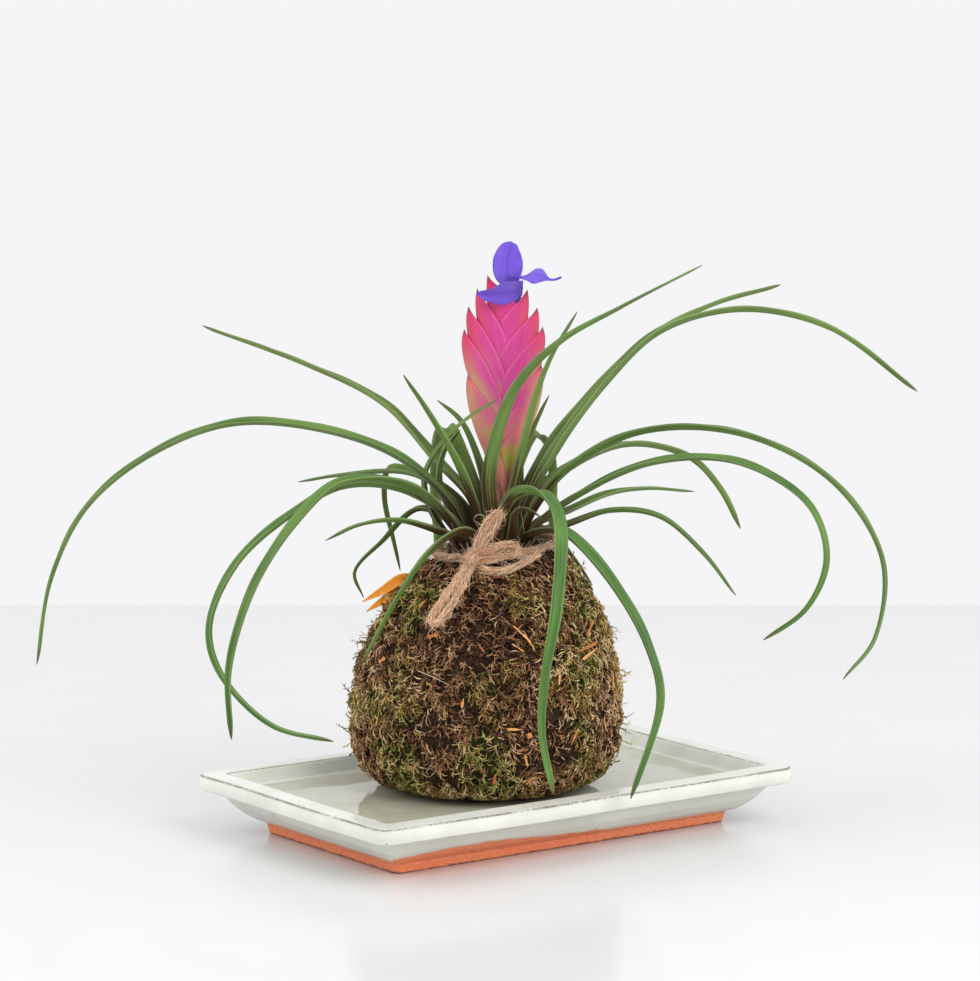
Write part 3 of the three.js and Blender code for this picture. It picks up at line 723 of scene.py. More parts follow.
def bedMaterial():
    # the bed of soil and broken moss under the threads: dark, with a little green where the moss is fresh
    material, tree, place = newMaterial("moss_bed_soil")
    green = addNode(tree, "Attribute", output="Fac", attribute_name="green")
    grain = addNode(tree, "TexNoise", {"Vector": place, "Scale": 0.9, "Detail": 4.0})
    stops = [(0.35, "#1A110A"), (0.55, "#38271A"), (0.75, "#5E4630")]
    colour = addNode(tree, "ValToRGB", {0: grain}, stops=stops)
    fresh = addNode(tree, "MapRange", {"Value": green, "From Min": 0.3, "From Max": 1.4})
    colour = addNode(tree, "Mix", {0: fresh, 6: colour, 7: "#2A2C10"}, 2, data_type="RGBA")
    bump = addNode(tree, "Bump", {"Height": grain, "Distance": 0.8 * mm})
    look = {"Base Color": colour, "Roughness": 0.95, "Specular IOR Level": 0.2, "Normal": bump}
    addNode(tree, "OutputMaterial", {"Surface": addNode(tree, "BsdfPrincipled", look)})
    return material


def chipMaterial():
    # splinters of fir bark: orange where freshly broken, brown where weathered
    material, tree, place = newMaterial("fir_bark")
    shade = addNode(tree, "Attribute", output="Fac", attribute_name="shade")
    grain = addNode(tree, "TexNoise", {"Vector": place, "Scale": 0.5, "Detail": 3.0})
    shade = addNode(tree, "Math", {0: grain, 1: 0.3, 2: shade}, operation="MULTIPLY_ADD")
    stops = [(0.1, "#3A2417"), (0.45, "#6A3E24"), (0.75, "#BC6A2C"), (1.0, "#E2A25E")]
    colour = addNode(tree, "ValToRGB", {0: shade}, stops=stops)
    bump = addNode(tree, "Bump", {"Height": grain, "Distance": 0.2 * mm})
    surface = addNode(tree, "BsdfPrincipled", {"Base Color": colour, "Roughness": 0.7, "Normal": bump})
    addNode(tree, "OutputMaterial", {"Surface": surface})
    return material


def makeMoss():
    addPiece("moss_bed", mossBed(), bedMaterial(), ["moss_layer"])
    materials = {colour: mossMaterial(*kind) for colour, kind in moss["colours"].items()}
    for name, colour, *lot in moss["threads"]:
        addPiece(name, mossThreads(*lot), materials[colour])
    for name, colour, *lot in moss["shoots"]:
        addPiece(name, shootsOverBall(*lot), materials[colour])
    addPiece("moss_stray_shoots", strayShoots(), materials["olive"])
    addPiece("bark_chips", barkChips(), chipMaterial(), smooth=False)


makeMoss()


# Leaves: (ring on the crown, direction of growth in degrees, greatest width, way to the tip)

blade = {
    "rings": [(13.2, 99.5), (10.6, 101), (7.4, 103.2)],     # (radius, height) of the leaf roots
    "step": 2.2,
    "across": 9,            # points across each face
    "fold": 0.55,           # rise of the margins for each mm of half width
    "rib": 0.95,            # thickness at the rib
    "margin": 0.28,
    "neck": 3.4,            # width at the root, so that neighbours clear each other
    "slimNecks": {3: 2, 7: 2, 13: 2, 23: 2, 27: 2},         # by leaf, where they stand closest
    "neckLength": 26,
    "tip": 0.35,
    "taper": 0.68,          # share of the width lost on the way to the tip
    "blunt": 7,             # mm over which the tip itself comes to a point
    "slender": {17: 0.62, 18: 0.3},
    "twist": 7,             # degrees
    "rounding": 0.3,        # of the gutter's lowest line, for each mm of half width
    "ripple": (0.16, 5.2),  # mm at the margins, and mm along the leaf for one radian of the wave
    "waver": (0.03, 9),     # the same for the width, as a share of it
    "least": 0.08,          # added to the thickness, so that thin tips stay solid
    "flush": (12, 50),      # mm from the root where the purple foot starts to fade, and where it ends
    "dryTip": 9,
    "apart": 40.0,          # between the veins of one leaf and those of the next
}

leafWays = [
    (1, 177, 8, [(-12, -1, 136), (-35, -4, 158), (-68, -5, 170), (-105, -3, 172), (-140, 2, 158),
        (-167, 8, 135), (-183, 16, 103), (-190, 24, 65)]),
    (2, 158, 8, [(-5, 5, 138), (-20, 21, 153), (-42, 44, 174), (-76, 78, 187), (-124, 112, 200)]),
    (1, 199, 8, [(-13, -6, 132), (-35, -11, 146), (-58, -17, 148), (-79, -28, 138),
        (-101, -44, 120), (-112, -52, 95), (-107, -57, 76), (-86, -63, 56), (-61, -66, 50)]),
    (0, 206, 9, [(-12, -12, 129), (-31, -23, 149), (-59, -36, 152), (-77, -46, 137),
        (-94, -60, 111), (-103, -68, 80), (-102, -72, 52)]),
    (1, 140, 6, [(-11, 14, 137), (-31, 26, 147), (-61, 42, 144), (-80, 54, 139)]),
    (0, 126, 7, [(-10, 20, 134), (-28, 33, 145), (-41, 39, 147), (-43, 41, 135), (-39, 40, 116),
        (-36, 38, 103)]),
    (0, 154, 6, [(-14.4, 9, 129), (-28, 13, 134), (-43, 15, 120), (-55, 16, 106), (-51, 16, 95)]),
    (0, 230, 6, [(-8, -15, 124), (-18, -20, 129), (-35, -26, 135), (-51, -32, 134),
        (-65, -38, 128)]),
    (0, 246, 7, [(-3, -18, 125), (-10, -23, 130), (-24, -29, 121), (-37, -33, 102), (-51, -36, 76)]),
    (2, 214, 7, [(-4.2, -6.8, 138), (-13, -15, 161), (-25, -27, 183), (-33, -36, 196)]),
    (2, 114, 5, [(0.5, 9.8, 142), (-3, 16.4, 155), (-10, 25, 169), (-20, 32, 177)]),
    (0, 170, 5, [(-17, 3, 126), (-23, 5, 136), (-25, 5.4, 147), (-21, 0.6, 158), (-10, -9, 172),
        (6, -18, 184)]),
    (1, 158.5, 7, [(-13, 8, 132), (-19, 9, 145), (-17, 11, 158), (-10, 13, 167)]),
    (0, 106, 8, [(-5, 22, 141), (-16, 38, 165), (-21, 62, 143), (-20, 74, 112), (-17, 80, 66)]),
    (1, 96, 7, [(5, 20, 147), (5, 36, 166), (5, 60, 172), (5, 88, 152), (4, 108, 110)]),
    (1, 58, 7, [(14, 15.6, 144), (13, 27, 167), (11, 46, 186), (13, 72, 196), (13, 100, 194)]),
    (2, 270, 7, [(2.6, -10.6, 138), (2, -12.4, 153), (12, -18, 187), (30, -28, 208),
        (55, -42, 224), (87, -62, 243)]),
    (2, 322, 7, [(11, -6, 140), (14, -8, 153), (20, -13, 180), (27, -16, 200), (38, -20, 220)]),
    (2, 58, 5, [(10.6, 10, 139), (16, 12, 156), (23, 14, 173), (27, 16, 181)]),
    (2, 20, 8, [(15.8, 5.6, 139), (28, 18, 161), (49, 36, 184), (70, 54, 202), (97, 76, 213),
        (129, 102, 219)]),
    (1, 354, 8, [(17, -2, 136), (31, 0, 163), (50, 5, 188), (73, 12, 209), (107, 22, 217),
        (145, 34, 208), (184, 46, 179)]),
    (1, 332, 8, [(21, -8, 138), (35, -12, 155), (64, -20, 171), (105, -34, 172), (142, -50, 154),
        (161, -60, 124), (158, -64, 92), (145, -64, 75)]),
    (0, 336, 7, [(22, -10, 131), (38, -17, 144), (68, -34, 160), (103, -56, 163), (130, -76, 148),
        (136, -86, 128), (128, -90, 109), (111, -90, 96)]),
    (1, 26, 8, [(21, 8, 139), (36, 17, 151), (61, 38, 158), (88, 60, 149), (102, 72, 133),
        (111, 78, 115)]),
    (0, 32, 6, [(21.6, 10, 127.6), (34, 16, 132), (53, 30, 138), (70, 44, 138), (90, 60, 134)]),
    (0, 0, 6, [(21.6, 0, 126), (33, -1, 129), (52, -5, 136), (73, -10, 134), (91, -16, 119),
        (104, -20, 102)]),
    (0, 316, 9, [(15, -11, 124), (24, -20, 130), (33, -27, 130), (50, -37, 114), (66, -48, 88),
        (71.5, -54, 65), (59.5, -60, 25)]),
    (0, 278, 9, [(8, -15, 131), (13, -22, 144), (23, -36, 148), (30, -54, 139), (29, -70, 108),
        (24, -75, 77), (23, -76, 55), (28, -76, 30)]),
    (0, 297, 6, [(12, -18, 129), (13, -21, 137), (16, -22, 139), (20, -24, 138), (24, -25, 135)]),
    (0, 55, 6, [(17, 14, 125), (27, 22, 123), (38, 30, 110), (46, 36, 97)]),
    (0, 78, 8, [(9, 19, 138), (20, 36, 162), (27, 48, 156), (29, 60, 131), (27, 74, 82)]),
]


def growLeaf(number, ring, fromAngle, width, way):
    # a gutter carried along the leaf's way. Across it, u from -1 to 1, its face rises by fold times half
    # the width times sqrt(u^2 + r^2) - r, which is scaled to reach 1; the width swells from the neck,
    # tapers as 1 - taper * t^1.15, and closes to a point as a root of the way left; slender leaves lose
    # more of it. The section slowly twists, and the margins ripple
    rng = np.random.default_rng(100 + number)
    radius, height = blade["rings"][ring]
    angle = np.radians(fromAngle)
    base = besideAxis(radius, height, angle)
    count = int(sum(np.linalg.norm(np.diff([base, *way], axis=0), axis=1)) / blade["step"])
    line = smoothWay([base, *way], count)
    along = lengthAlong(line)
    t = along / along[-1]
    sides, ups = carrySides(line[None], np.array([np.sin(angle), -np.cos(angle), 0]))
    sides, ups = sides[0], ups[0]
    roll = np.radians(blade["twist"]) * (np.sin(2.6 * t + rng.uniform(0, 6)) * smoothstep(0, 0.25, t))
    c, s = np.cos(roll)[:, None], np.sin(roll)[:, None]
    sides, ups = c * sides + s * ups, c * ups - s * sides

    neck = np.minimum(1, along / blade["neckLength"])
    foot = blade["slimNecks"].get(number, blade["neck"])
    swell = foot + (width - foot) * neck * (2 - neck)
    point = np.sqrt(np.clip((along[-1] - along) / blade["blunt"], 0, 1))
    taper = width * (1 - blade["taper"] * t**1.15) * point
    taper = taper * (1 - blade["slender"].get(number, 0) * smoothstep(0.05, 0.95, t))
    half = np.maximum(blade["tip"], np.minimum(swell, taper))[:, None] / 2
    waver, waverLength = blade["waver"]
    half = half * (1 + waver * np.sin(along / waverLength + rng.uniform(0, 6)))[:, None]
    u = np.linspace(-1, 1, blade["across"])[None]
    r = blade["rounding"]
    groove = (np.sqrt(u * u + r**2) - r) / (np.sqrt(1 + r**2) - r)
    ripple, rippleLength = blade["ripple"]
    ripple = ripple * np.sin(along / rippleLength + rng.uniform(0, 6))[:, None] * np.abs(u) ** 3 * np.sign(u)
    face = half * blade["fold"] * (groove - 0.5) + ripple * np.minimum(1, half / 3)
    slim = np.minimum(1, half / 2.2)
    thick = blade["margin"] + (blade["rib"] - blade["margin"]) * (1 - np.abs(u) ** 1.6)
    rings, across = bladeRings(line, sides, ups, half * u, face, slim * thick + blade["least"])

    points, faces = skinOf(rings[None])
    shape = across.shape
    edge = np.broadcast_to(np.concatenate([np.abs(u), np.abs(u)[:, ::-1]], axis=1), shape)
    outer = np.broadcast_to(np.repeat([0.0, 1.0], blade["across"])[None], shape)
    base = np.broadcast_to(along[:, None], shape)
    flush = (1 - smoothstep(*blade["flush"], base)) * (0.62 + 0.38 * outer)
    fields = {
        "bladeWay": np.stack([across, base, np.full(shape, blade["apart"] * number)], -1).reshape(-1, 3),
        "flush": flush.ravel(),
        "edge": smoothstep(0.8, 1.0, edge).ravel(),
        "outer": outer.ravel(),
        "dry": smoothstep(along[-1] - blade["dryTip"], along[-1], base).ravel(),
        "tone": np.full(across.size, leafTone(line, rng)),
    }
    return points, faces, fields


def leafTone(line, rng):
    # 0 is yellow green, 1 is blue green: leaves that come forward are bluer, those behind are yellower
    forward = np.clip(-line[len(line) // 2, 1] / 60, -1, 1)
    return float(np.clip(0.45 + 0.35 * forward + rng.uniform(-0.12, 0.12), 0, 1))


def leafMaterial():
    # air plant leaf: a tough waxy skin with fine lengthwise veins and a satin sheen; its foot is flushed
    # purple brown and striped where the sheath clasps the crown, and its tip is dry
    material, tree, _ = newMaterial("air_plant_leaf")
    way = addNode(tree, "Attribute", output="Vector", attribute_name="bladeWay")
    tone, flush, edge, outer, dry = (
        addNode(tree, "Attribute", output="Fac", attribute_name=name)
        for name in ("tone", "flush", "edge", "outer", "dry")
    )
    fine = addNode(tree, "Mapping", {"Vector": way, "Scale": (1.5, 0.02, 0.37)})
    veins = addNode(tree, "TexNoise", {"Vector": fine, "Scale": 1.0, "Detail": 2.0})
    broad = addNode(tree, "Mapping", {"Vector": way, "Scale": (0.12, 0.03, 0.37)})
    mottle = addNode(tree, "TexNoise", {"Vector": broad, "Scale": 1.0, "Detail": 2.0})
    light = addNode(tree, "Mix", {0: tone, 6: "#71883A", 7: "#5F8A44"}, 2, data_type="RGBA")
    dark = addNode(tree, "Mix", {0: tone, 6: "#3F581E", 7: "#315A26"}, 2, data_type="RGBA")
    both = addNode(tree, "Math", {0: veins, 1: mottle}, operation="ADD")
    both = addNode(tree, "MapRange", {"Value": both, "From Min": 0.75, "From Max": 1.3})
    body = addNode(tree, "Mix", {0: both, 6: dark, 7: light}, 2, data_type="RGBA")
    pale = addNode(tree, "Math", {0: outer, 1: 0.25}, operation="MULTIPLY")
    body = addNode(tree, "Mix", {0: pale, 6: body, 7: "#7C9150"}, 2, data_type="RGBA")
    brown = addNode(tree, "MapRange", {"Value": flush, "From Min": 0.35, "From Max": 1.0, "To Max": 0.7})
    body = addNode(tree, "Mix", {0: brown, 6: body, 7: "#5C3B22"}, 2, data_type="RGBA")
    long = addNode(tree, "Mapping", {"Vector": way, "Scale": (1.5, 0.014, 0.37)})
    stripes = addNode(tree, "TexNoise", {"Vector": long, "Scale": 1.0, "Detail": 1.0})
    stripes = addNode(tree, "Math", {0: flush, 1: 0.24, 2: stripes}, operation="MULTIPLY_ADD")
    stripes = addNode(tree, "MapRange", {"Value": stripes, "From Min": 0.58, "From Max": 0.63})
    faded = addNode(tree, "MapRange", {"Value": flush, "From Max": 0.4, "To Max": 0.85})
    stripes = addNode(tree, "Math", {0: stripes, 1: faded}, operation="MULTIPLY")
    body = addNode(tree, "Mix", {0: stripes, 6: body, 7: "#3B2014"}, 2, data_type="RGBA")
    rim = addNode(tree, "Math", {0: edge, 1: 0.25}, operation="MULTIPLY")
    body = addNode(tree, "Mix", {0: rim, 6: body, 7: "#A3B884"}, 2, data_type="RGBA")
    burnt = addNode(tree, "Math", {0: dry, 1: 0.7}, operation="MULTIPLY")
    body = addNode(tree, "Mix", {0: burnt, 6: body, 7: "#5F5237"}, 2, data_type="RGBA")
    bump = addNode(tree, "Bump", {"Height": veins, "Distance": 0.12 * mm, "Strength": 0.7})
    look = {"Base Color": body, "Roughness": 0.5, "Specular IOR Level": 0.25, "Normal": bump}
    addNode(tree, "OutputMaterial", {"Surface": addNode(tree, "BsdfPrincipled", look)})
    return material


def makeLeaves():
    skin = leafMaterial()
    for number, (ring, fromAngle, width, way) in enumerate(leafWays, 1):
        name = f"leaf_{number:02d}"
        addPiece("blade_of_" + name, growLeaf(number, ring, fromAngle, width, way), skin, [name])


makeLeaves()


# Flower spike: two rows of keeled bracts on a stalk

spike = {
    "axis": (8.0, 0.0),
    "stalkRadius": 2.1,
    "stalkFoot": (4.5, 0, 126.5),
    "stalkTop": 205,
    "foot": 141,
    "thickness": [(0, 10), (1, 9.8), (2, 7.5), (12, 3.1)],      # by the bract's number
    "edge": 0.3,
    "lip": 1.75,                # how strongly the margins flare
    "dive": (3.2, 0.4),         # mm past the axis over which a scale gets thinner, and by what share
    "slant": (0.72, 0.98),      # of the margins of the left bracts and of the right ones
    "topSlant": 1.25,
    "bend": 110,
    "keel": [(0.06, 1), (0.52, 0.72), (0.9, 0.36), (1, 0.14), (0.985, 0.06), (0.94, 0)],
    # each bract's tip, how far its margin passes the axis, and its length
    "bracts": [
        (-9.1, 169.7, 2, 30), (9, 174.6, 2, 30), (-11.5, 181, 3, 40), (13, 186, 3, 44),
        (-15.7, 192, 3.5, 46), (16.5, 196, 3.5, 46), (-17.5, 210.5, 3.5, 46), (17.2, 211.5, 3.5, 46),
        (-15.6, 220, 3.5, 46), (14.7, 219.5, 3.5, 46), (-11.8, 227.5, 3.5, 46), (10.4, 227, 3.5, 46),
        (-7.2, 232.9, 7, 46),
    ],
    # where a bract turns yellow green: its number, then height, spread and amount
    "greenAt": {0: (163, 9, 0.8), 1: (157, 8, 1.0), 2: (170, 8, 0.7)},
    "rows": 46,
    "across": 13,
}


def growBract(number, reach, top, wrap, long):
    # a keeled scale. Down from its tip, t from 0 to 1, the keel follows a smooth outline and the margin
    # slants in by slant times the way down, less close to the tip, and past the axis by wrap at most; the
    # last bract's slants in more. From keel to margin, w from 0 to 1, the flank swells out as
    # sin(w pi / 2)^0.6 times half the thickness, which goes by the bract's number and grows from the tip
    drop = top - max(spike["foot"], top - long)
    keel = smoothWay([(x * reach, top - z * drop) for x, z in spike["keel"]][::-1], 200)
    t = np.linspace(0, 1, spike["rows"]) ** 1.3
    kx, kz = (np.interp(t, np.linspace(0, 1, 200), c) for c in keel.T)
    down = top - kz
    last = number == len(spike["bracts"]) - 1
    slant = spike["topSlant"] if last else spike["slant"][int(reach > 0)]
    inward = slant * down * (1 - down / spike["bend"]) * (1 - 0.8 * np.exp(-down / 3.5))
    start = abs(keel[0, 0])
    ends = np.minimum(1, np.sqrt(np.clip(drop - down, 0, None) / 3))    # the scale's foot is round
    limit = start - 0.5 + (wrap + 0.5) * ends
    inward = limit * (1 - np.exp(-((inward / limit) ** 8))) ** (1 / 8)
    mx = keel[0, 0] - np.sign(reach) * (inward + spike["edge"])
    full = np.interp(number, *np.array(spike["thickness"]).T) * min(1, abs(reach) / 9)
    half = (full / 2) * (1 - np.exp(-down / 5)) + 0.12
    w = np.concatenate([np.linspace(1, 0, spike["across"]), np.linspace(0, 1, spike["across"])[1:]])
    sign = np.repeat([-1.0, 1.0], [spike["across"], spike["across"] - 1])
    swell = np.sin(w * np.pi / 2) ** 0.6 + 0.08 * np.sin(np.pi * w)
    x = kx[:, None] + (mx - kx)[:, None] * w[None] ** 1.15
    lip = spike["lip"] * np.sin(np.pi * t)[:, None] * np.clip(w - 0.8, 0, 1)
    past = -np.sign(reach) * x      # beyond the axis the scale dives under the next lower one
    diveWay, dive = spike["dive"]
    thinned = 1 - dive * smoothstep(0, diveWay, past)
    y = sign * (half[:, None] * swell + lip * smoothstep(1.5, -1.5, past)) * thinned
    z = np.broadcast_to(kz[:, None], x.shape)
    x0, y0 = spike["axis"]
    rings = np.stack([x0 + x, y0 + y, z], axis=-1)
    points, faces = skinOf(rings[None])
    ones = np.ones_like(x)
    fromKeel = np.abs(x - kx[:, None])
    greenHeight, greenSpread, greenAmount = spike["greenAt"].get(number, (0, 1, 0))
    leafy = greenAmount * np.exp(-(((z - greenHeight) / greenSpread) ** 2)) * smoothstep(8, 14, down)[:, None]
    fields = {
        "bractWay": np.stack([fromKeel, down[:, None] * ones, 30.0 * number * ones], -1).reshape(-1, 3),
        "keel": (np.exp(-fromKeel / 4.5) * ones).ravel(),
        "lip": (smoothstep(0.86, 1, w)[None] * ones).ravel(),
        "point": (np.exp(-down / (14 if last else 7))[:, None] * ones).ravel(),
        "low": (ones * smoothstep(212, 150, z)).ravel(),
        "sharp": (np.exp(-((down / 2.2) ** 2))[:, None] * ones).ravel(),
        "leafy": leafy.ravel(),
    }
    return points, faces, fields


def growStalk():
    # a round stalk, a fifth thicker at its foot
    x, y = spike["axis"]
    line = smoothWay([spike["stalkFoot"], (x - 1, y, 140), (x, y, 166), (x, y, spike["stalkTop"])], 40)
    radius = spike["stalkRadius"] * (1 + 0.2 * smoothstep(15, 0, lengthAlong(line)))[:, None, None]
    rings, a = ringTube(line, radius, 16)
    points, faces = skinOf(rings[None])
    count = len(points)
    way = np.stack([np.tile(a.ravel() * 2, len(line)), points[:, 2], np.zeros(count)], -1)
    zero = np.zeros(count)
    fields = {"bractWay": way, "keel": zero + 0.3, "low": zero + 1.0}
    fields.update({name: zero for name in ("lip", "point", "sharp", "leafy")})
    return points, faces, fields


def bractMaterial():
    # the bracts: waxy scales, magenta in the middle and coral along the keels, which fade to ochre on the
    # lower left and to salmon and yellow green at the foot; the tips are crimson and end in a dark point
    material, tree, _ = newMaterial("pink_bract")
    way = addNode(tree, "Attribute", output="Vector", attribute_name="bractWay")
    keel, lip, point, low, sharp, leafy = (
        addNode(tree, "Attribute", output="Fac", attribute_name=name)
        for name in ("keel", "lip", "point", "low", "sharp", "leafy")
    )
    fine = addNode(tree, "Mapping", {"Vector": way, "Scale": (1.3, 0.05, 1.0)})
    veins = addNode(tree, "TexNoise", {"Vector": fine, "Scale": 1.0, "Detail": 2.0})
    broad = addNode(tree, "Mapping", {"Vector": way, "Scale": (0.12, 0.08, 1.0)})
    cloud = addNode(tree, "TexNoise", {"Vector": broad, "Scale": 1.0, "Detail": 2.0})
    pink = addNode(tree, "Mix", {0: veins, 6: "#BE2880", 7: "#CC5296"}, 2, data_type="RGBA")
    coral = addNode(tree, "Mix", {0: veins, 6: "#BE3A5C", 7: "#CC636C"}, 2, data_type="RGBA")
    outward = addNode(tree, "Math", {0: cloud, 1: 0.35, 2: keel}, operation="MULTIPLY_ADD")
    body = addNode(tree, "MapRange", {"Value": outward, "From Min": 0.35, "From Max": 0.95})
    body = addNode(tree, "Mix", {0: body, 6: pink, 7: coral}, 2, data_type="RGBA")
    ochre = addNode(tree, "Mix", {0: cloud, 6: "#B4925F", 7: "#BEAA82"}, 2, data_type="RGBA")
    faded = addNode(tree, "MapRange", {"Value": low, "From Min": 0.03, "From Max": 0.32})
    outside = {"Value": outward, "From Min": 0.28, "From Max": 0.75, "To Max": 0.85}
    outside = addNode(tree, "MapRange", outside)
    faded = addNode(tree, "Math", {0: faded, 1: outside}, operation="MULTIPLY")
    body = addNode(tree, "Mix", {0: faded, 6: body, 7: ochre}, 2, data_type="RGBA")
    salmon = addNode(tree, "Mix", {0: veins, 6: "#D0706C", 7: "#DF9488"}, 2, data_type="RGBA")
    foot = addNode(tree, "MapRange", {"Value": low, "From Min": 0.5, "From Max": 0.9, "To Max": 0.8})
    body = addNode(tree, "Mix", {0: foot, 6: body, 7: salmon}, 2, data_type="RGBA")
    body = addNode(tree, "Mix", {0: leafy, 6: body, 7: "#AEA848"}, 2, data_type="RGBA")
    tipped = addNode(tree, "Math", {0: point, 1: 0.85}, operation="MULTIPLY")
    body = addNode(tree, "Mix", {0: tipped, 6: body, 7: "#D01E62"}, 2, data_type="RGBA")
    aged = addNode(tree, "MapRange", {"Value": low, "From Min": 0.55, "From Max": 0.85})
    lipColour = addNode(tree, "Mix", {0: aged, 6: "#E27AAE", 7: "#8C3C44"}, 2, data_type="RGBA")
    line = addNode(tree, "MapRange", {"Value": aged, "To Min": 0.25, "To Max": 0.7})
    line = addNode(tree, "Math", {0: lip, 1: line}, operation="MULTIPLY")
    body = addNode(tree, "Mix", {0: line, 6: body, 7: lipColour}, 2, data_type="RGBA")
    body = addNode(tree, "Mix", {0: sharp, 6: body, 7: "#6E2A33"}, 2, data_type="RGBA")
    bump = addNode(tree, "Bump", {"Height": veins, "Distance": 0.12 * mm, "Strength": 0.8})
    look = {"Base Color": body, "Roughness": 0.45, "Specular IOR Level": 0.3, "Normal": bump}
    addNode(tree, "OutputMaterial", {"Surface": addNode(tree, "BsdfPrincipled", look)})
    return material


def makeSpike():
    parts = [growStalk()] + [growBract(number, *bract) for number, bract in enumerate(spike["bracts"])]
    addPiece("bracts_and_stalk", joined(parts), bractMaterial(), ["flower_spike"])


makeSpike()


# Flower: each petal's rib, the side its blade faces, and its half width along the rib

flower = {
    "tube": [(13.2, 0.8, 219), (13.8, -0.5, 223), (14.7, -2, 229)],
    "tubeRadius": 1.2,
    "rows": 40,
    "across": 17,
    "thickness": 0.3,
    "ripple": (0.3, 1.5),       # mm at the margins, and mm along the petal for one radian
    "ridge": 0.5,               # height of the rib at the petal's foot
    "petals": [
        {"side": (1, 0.1, 0), "cup": 1.2, "notch": 1.4,
            "way": [(10.5, -1.6, 229.5), (9.6, -0.4, 234.5), (9.7, 0.5, 239.5), (10.6, 1.2, 243.2),
                (12.2, 2, 246.2)],
            "half": [3.4, 5.2, 6.0, 6.3, 6.2, 5.4, 4.2, 1.6]},
        {"side": (0.1, 0.8, 0.55), "cup": 0.7, "notch": 0,
            "way": [(9.6, -2.8, 232.9), (16.4, -3.4, 232.6), (20.5, -5, 233.6), (24.2, -6.4, 232.9),
                (28, -7.4, 231.9), (31.8, -8.4, 233)],
            "half": [0.3, 0.45, 0.7, 2.2, 4.3, 4.4, 2.6, 0.9, 0.5, 0.3]},
        {"side": (0.12, -0.4, 0.91), "cup": 1.0, "notch": 0,
            "way": [(15.8, -2.8, 228), (11, -5.5, 226.9), (6, -7.6, 226.2), (1.5, -9.2, 225.8),
                (-3.2, -10.6, 226.6)],
            "half": [3.6, 4.4, 5.1, 5.4, 5.1, 4.3, 3.2, 1.9, 0.4]},
    ],
}


def growPetal(number, petal):
    # a thin cupped blade: half its width is read from a smooth list along the rib, the cup lifts its
    # margins by cup * u^2, a ripple runs round them, a ridge marks the rib near the foot, and one petal's
    # end is notched
    rng = np.random.default_rng(300 + number)
    line = smoothWay(petal["way"], flower["rows"])
    along = lengthAlong(line)
    t = along / along[-1]
    sides, ups = carrySides(line[None], unit(np.array(petal["side"], float)))
    shares = np.linspace(0, 1, len(petal["half"]))
    halves = smoothWay(np.stack([shares * along[-1], petal["half"]], -1), 200)
    half = np.interp(along, *halves.T)[:, None]
    u = np.linspace(-1, 1, flower["across"])[None]
    ripple, rippleLength = flower["ripple"]
    ripple = ripple * np.sin(along / rippleLength + rng.uniform(0, 6))[:, None] * u**2 * np.sign(u)
    lift = petal["cup"] * (u * u - 0.3) * np.sin(np.pi * np.clip(t, 0.05, 1))[:, None]
    ridge = flower["ridge"] * np.exp(-np.abs(u) * 6) * (1 - t)[:, None]
    lift = lift + ripple * smoothstep(0.1, 0.5, t)[:, None] + ridge
    back = -petal["notch"] * np.exp(-((u - 0.35) / 0.3) ** 2) * smoothstep(0.85, 1, t)[:, None]
    ahead = unit(np.gradient(line, axis=0))
    face = line[:, None] + (half * u)[..., None] * sides[0][:, None] + lift[..., None] * ups[0][:, None]
    face = face + back[..., None] * ahead[:, None]
    thick = flower["thickness"] * (0.35 + 0.65 * (1 - u * u))[..., None] * ups[0][:, None]
    rings = np.concatenate([face, (face - thick)[:, ::-1]], axis=1)
    points, faces = skinOf(rings[None])
    both = np.concatenate([u, u[:, ::-1]], axis=1) * np.ones((len(t), 1))
    way = np.stack([both * half, along[:, None] * np.ones_like(both), np.full(both.shape, 20.0 * number)], -1)
    throat = 0.5 * smoothstep(7, 0, along)[:, None] * np.ones_like(both)
    return points, faces, {"petalWay": way.reshape(-1, 3), "throat": throat.ravel()}


def growTube():
    # the short tube that carries the petals
    line = smoothWay(flower["tube"], 14)
    rings, a = ringTube(line, flower["tubeRadius"], 14)
    points, faces = skinOf(rings[None])
    way = np.stack([np.tile(a.ravel(), len(line)), points[:, 2], np.zeros(len(points))], -1)
    return points, faces, {"petalWay": way, "throat": np.ones(len(points))}


def petalMaterial():
    # thin satin petals, blue violet, with fine veins along them, a dark throat, and a darker line along the
    # rib: the vein, with the fold's shade painted in
    material, tree, _ = newMaterial("violet_petal")
    way = addNode(tree, "Attribute", output="Vector", attribute_name="petalWay")
    throat = addNode(tree, "Attribute", output="Fac", attribute_name="throat")
    fine = addNode(tree, "Mapping", {"Vector": way, "Scale": (1.1, 0.08, 1.0)})
    veins = addNode(tree, "TexNoise", {"Vector": fine, "Scale": 1.0, "Detail": 2.0})
    across = addNode(tree, "Math", {0: addNode(tree, "SeparateXYZ", {0: way}, "X")}, operation="ABSOLUTE")
    # painted shade: the rib is darkened as the fold's shade, as well as for the vein
    rib = addNode(tree, "MapRange", {"Value": across, "From Min": 1.3, "From Max": 0.1, "To Max": 0.45})
    body = addNode(tree, "Mix", {0: veins, 6: "#5433B4", 7: "#785BD0"}, 2, data_type="RGBA")
    body = addNode(tree, "Mix", {0: rib, 6: body, 7: "#4E2FA8"}, 2, data_type="RGBA")
    deep = addNode(tree, "Math", {0: throat, 1: 0.9}, operation="MULTIPLY")
    body = addNode(tree, "Mix", {0: deep, 6: body, 7: "#34227E"}, 2, data_type="RGBA")
    bump = addNode(tree, "Bump", {"Height": veins, "Distance": 0.15 * mm, "Strength": 0.7})
    look = {"Base Color": body, "Roughness": 0.55, "Specular IOR Level": 0.3, "Sheen Weight": 0.3}
    look["Normal"] = bump
    addNode(tree, "OutputMaterial", {"Surface": addNode(tree, "BsdfPrincipled", look)})
    return material


